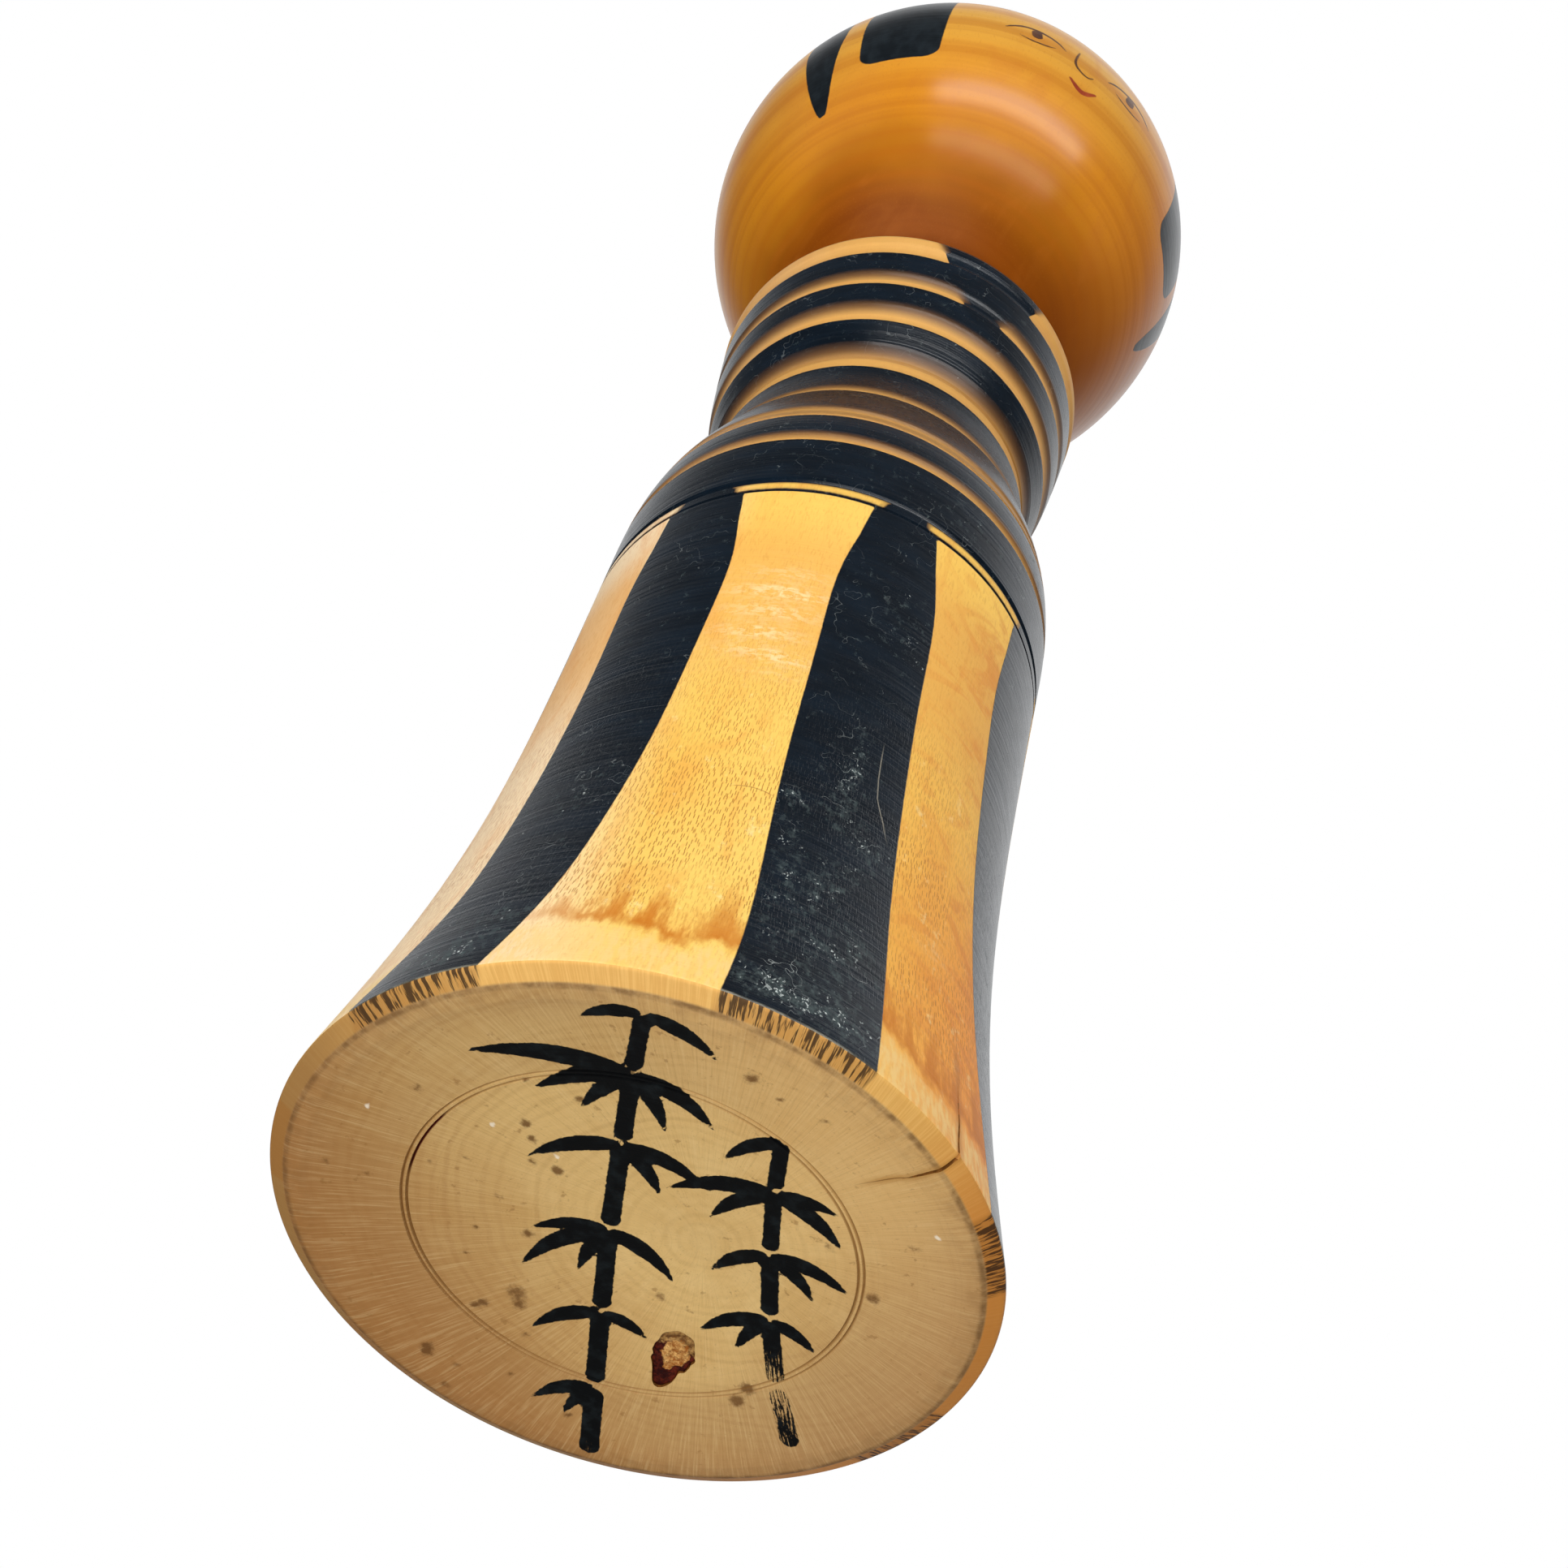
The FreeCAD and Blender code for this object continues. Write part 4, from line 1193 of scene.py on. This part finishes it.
def head_material():
    """Honey-coloured wood under varnish, with painted hair, face and crown rings, and painted shade towards
    the neck and towards +X.
    """
    s = new_material("varnished_head")
    level = s.z + (s.noise(0.04, 3.0) - 0.5) * 14.0
    along = s.z + s.vector("LENGTH", s.vector("MULTIPLY", s.place, (1, 1, 0))) * 0.5
    bands = s.noise((0.26, 0.0, 0.0), 3.0, 0.55, place=s.joined(along))
    figure = s.noise((0.18, 0.05, 0.1), 3.0, 0.55, 1.2)
    fibre = s.noise((4.0, 4.0, 0.8))
    base = s.layered(
        # darker, deeper orange down towards the neck: partly the wood's own tone, partly painted shade
        # under the head
        s.mix(level.rise(174.0, 188.0), (136, 66, 0), (204, 130, 22)),
        (level.rise(186.0, 208.0), (215, 159, 62)),
        # painted shade: darker and redder towards +X
        (s.x.rise(4.0, 30.0, 0.65), (196, 108, 34)),
        (bands.rise(0.42, 0.62, 0.42), (172, 92, 8)),
        (figure.rise(0.5, 0.72, 0.25), (186, 106, 30)),
        (fibre.rise(0.58, 0.72, 0.22), (172, 98, 28)),
    )
    waver = (s.noise(1.2, 3.0, 0.6) - 0.5) * 0.16
    paint_field = s.noise((0.5, 0.5, 0.25), 4.0, 0.6).rise(0.35, 0.7)
    painted = 0.0
    for name, dark, light in PAINTS:
        cover = (s.stored(name) + waver).rise(-0.1, 0.1)
        base = s.mix(cover, base, s.mix(paint_field, dark, light))
        painted = s.math("MAXIMUM", cover, painted)
    rough = s.noise((0.3, 0.3, 0.6), 3.0) * 0.1 + 0.3
    normal = s.bump(s.noise((0.02, 0.02, 1.6)), 0.05, 0.6)
    normal = s.bump(painted, 0.03, 0.7, normal)
    return s.finish(base, rough, normal, Specular_IOR_Level=0.12, Coat_Weight=0.4, Coat_Roughness=0.19)


def knot_material():
    """Crumbling tan core, dark red bark round it, and older brown bark at its inner end."""
    s = new_material("dead_knot")
    crumbs = s.noise(1.5, 5.0, 0.7)
    fine = s.noise(5.0, 3.0, 0.6)
    ragged = crumbs - 0.5
    covered = (s.stored("outwards") + ragged * 0.7).rise(0.64, 0.7)
    old_bark = (s.stored("inner_end") + ragged * 0.6).rise(0.56, 0.66)
    base = s.layered(
        s.mix(crumbs.rise(0.36, 0.62), (158, 90, 28), (232, 182, 108)),
        (fine.rise(0.55, 0.7), (112, 58, 20)),
        (covered, s.mix(crumbs.rise(0.42, 0.68), (44, 8, 6), (104, 34, 16))),
        (old_bark, s.mix(crumbs.rise(0.38, 0.64), (106, 66, 28), (182, 138, 78))),
    )
    rough = covered.rise(0.0, 1.0, bottom=0.75, top=0.32)
    return s.finish(base, rough, s.bump(crumbs, 0.25, 0.9), Specular_IOR_Level=0.45)


# ---------------------------------------------------------------- stage
CAMERA_AZIMUTH = -17.08
CAMERA_ELEVATION = -49.26
CAMERA_ROLL = 19.02
CAMERA_DISTANCE = 237.85
CAMERA_AIM = (-4.83, 1.49, 54.61)
LENS = 52.56
SHIFT_RIGHT = 0.05
SHIFT_UP = 0.037

FLOOR_HALF = 40.0             # metres
FLOOR_LEVEL = -0.0002
LIGHT_AIM = Vector((0, 0, 0.19))
# soft rectangular lights: (name, azimuth, elevation, distance, width, height, brightness, in the gloss)
LIGHTS = [
    ("upper_pane", -10, 12, 0.62, 0.70, 0.13, 8.0, True),
    ("lower_pane", -10, -15, 0.45, 0.48, 0.08, 3.6, True),
    ("left_key", -78, 10, 0.8, 0.6, 0.5, 2.0, False),
    ("right_fill", 48, 6, 0.9, 0.5, 0.36, 1.0, False),
    ("from_below", -50, -60, 0.9, 0.9, 0.9, 2.9, False),
    ("from_behind", 160, 30, 1.2, 0.9, 0.9, 1.8, False),
]
BRIGHT_WAY = (0.44, 0.50, 0.745)    # towards the white backdrop, behind and above the doll
SURROUND_DIM = 0.09


def way_back(azimuth, elevation):
    """The direction from the doll to something that looks at it. Azimuth 0 looks from the front."""
    a, e = math.radians(azimuth), math.radians(elevation)
    return Vector((math.sin(a) * math.cos(e), -math.cos(a) * math.cos(e), math.sin(e)))


def place_in_scene(name, data, location, rotation):
    """An object of the stage, in metres."""
    placed = bpy.data.objects.new(name, data)
    placed.location = location
    placed.rotation_mode = "QUATERNION"
    placed.rotation_quaternion = rotation
    bpy.context.scene.collection.objects.link(placed)
    return placed


def make_camera():
    """A close, low camera that looks up at the foot, rolled a little."""
    data = bpy.data.cameras.new("camera")
    data.lens = LENS
    data.sensor_width = 36.0
    data.shift_x = SHIFT_RIGHT
    data.shift_y = SHIFT_UP
    data.clip_start = 0.01
    data.clip_end = 20.0
    back = way_back(CAMERA_AZIMUTH, CAMERA_ELEVATION)
    roll = Matrix.Rotation(math.radians(CAMERA_ROLL), 3, "Z").to_quaternion()
    location = (Vector(CAMERA_AIM) + back * CAMERA_DISTANCE) * MM
    rotation = (-back).to_track_quat("-Z", "Y") @ roll
    bpy.context.scene.camera = place_in_scene("camera", data, location, rotation)


def make_floor():
    """A pale floor that the doll stands on, fading into the white backdrop, and clear from below."""
    signs = ((-1, -1), (1, -1), (1, 1), (-1, 1))
    corners = [(x * FLOOR_HALF, y * FLOOR_HALF, FLOOR_LEVEL) for x, y in signs]
    mesh = bpy.data.meshes.new("floor")
    mesh.from_pydata(corners, [], [(0, 1, 2, 3)])
    floor = place_in_scene("floor", mesh, (0, 0, 0), (1, 0, 0, 0))
    s = new_material("pale_floor")
    distance = s.vector("LENGTH", s.place) * MM
    paint = s.add("BsdfDiffuse", {"Color": (0.86, 0.86, 0.85, 1)})
    far = s.add("MixShader", {0: distance.rise(0.15, 1.3), 1: paint, 2: s.add("Emission", {})})
    below = s.add("NewGeometry", {}, "Backfacing")
    s.surface(s.add("MixShader", {0: below, 1: far, 2: s.add("BsdfTransparent", {})}))
    mesh.materials.append(s.owner)
    floor.visible_shadow = False
    floor.visible_diffuse = False
    floor.visible_glossy = False


def area_light(name, azimuth, elevation, distance, width, height, radiance, mirrored):
    """A light aimed at the doll's upper half; radiance is the brightness of its face."""
    data = bpy.data.lights.new(name, "AREA")
    data.shape = "RECTANGLE"
    data.size, data.size_y = width, height
    data.energy = radiance * width * height * math.pi
    back = way_back(azimuth, elevation)
    light = place_in_scene(name, data, LIGHT_AIM + back * distance, (-back).to_track_quat("-Z", "Y"))
    light.visible_glossy = mirrored
    light.visible_camera = False


def make_light():
    """A white backdrop, two window panes in front, and soft lights from the side, below and behind."""
    world = bpy.data.worlds.new("surround")
    bpy.context.scene.world = world
    s = Shading(world)
    towards_backdrop = s.vector("DOT_PRODUCT", s.add("TexCoord", {}, "Generated"), BRIGHT_WAY)
    strength = towards_backdrop.rise(0.45, 0.93, bottom=SURROUND_DIM)
    lit = s.add("Background", {"Color": (0.98, 0.99, 1.0, 1), "Strength": strength})
    seen = s.add("Background", {"Color": (1, 1, 1, 1)})
    camera_ray = s.add("LightPath", {}, "Is Camera Ray")
    s.surface(s.add("MixShader", {0: camera_ray, 1: lit, 2: seen}), "OutputWorld")
    for light in LIGHTS:
        area_light(*light)
    bpy.context.scene.view_settings.view_transform = "Standard"


make_camera()
make_floor()
make_light()

body = make_body()
for material in (wall_material(), foot_material(), raw_material()):
    body.data.materials.append(material)
head = make_head()
head.data.materials.append(head_material())
knot = make_knot()
knot.data.materials.append(knot_material())

for piece, cad_body, node, slot in (
    (body, "body", "body", "body_wood"),
    (head, "head", "head", "head_wood"),
    (knot, "body", "base_knot", "knot_wood"),
):
    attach(piece, cad_body)
    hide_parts(node)
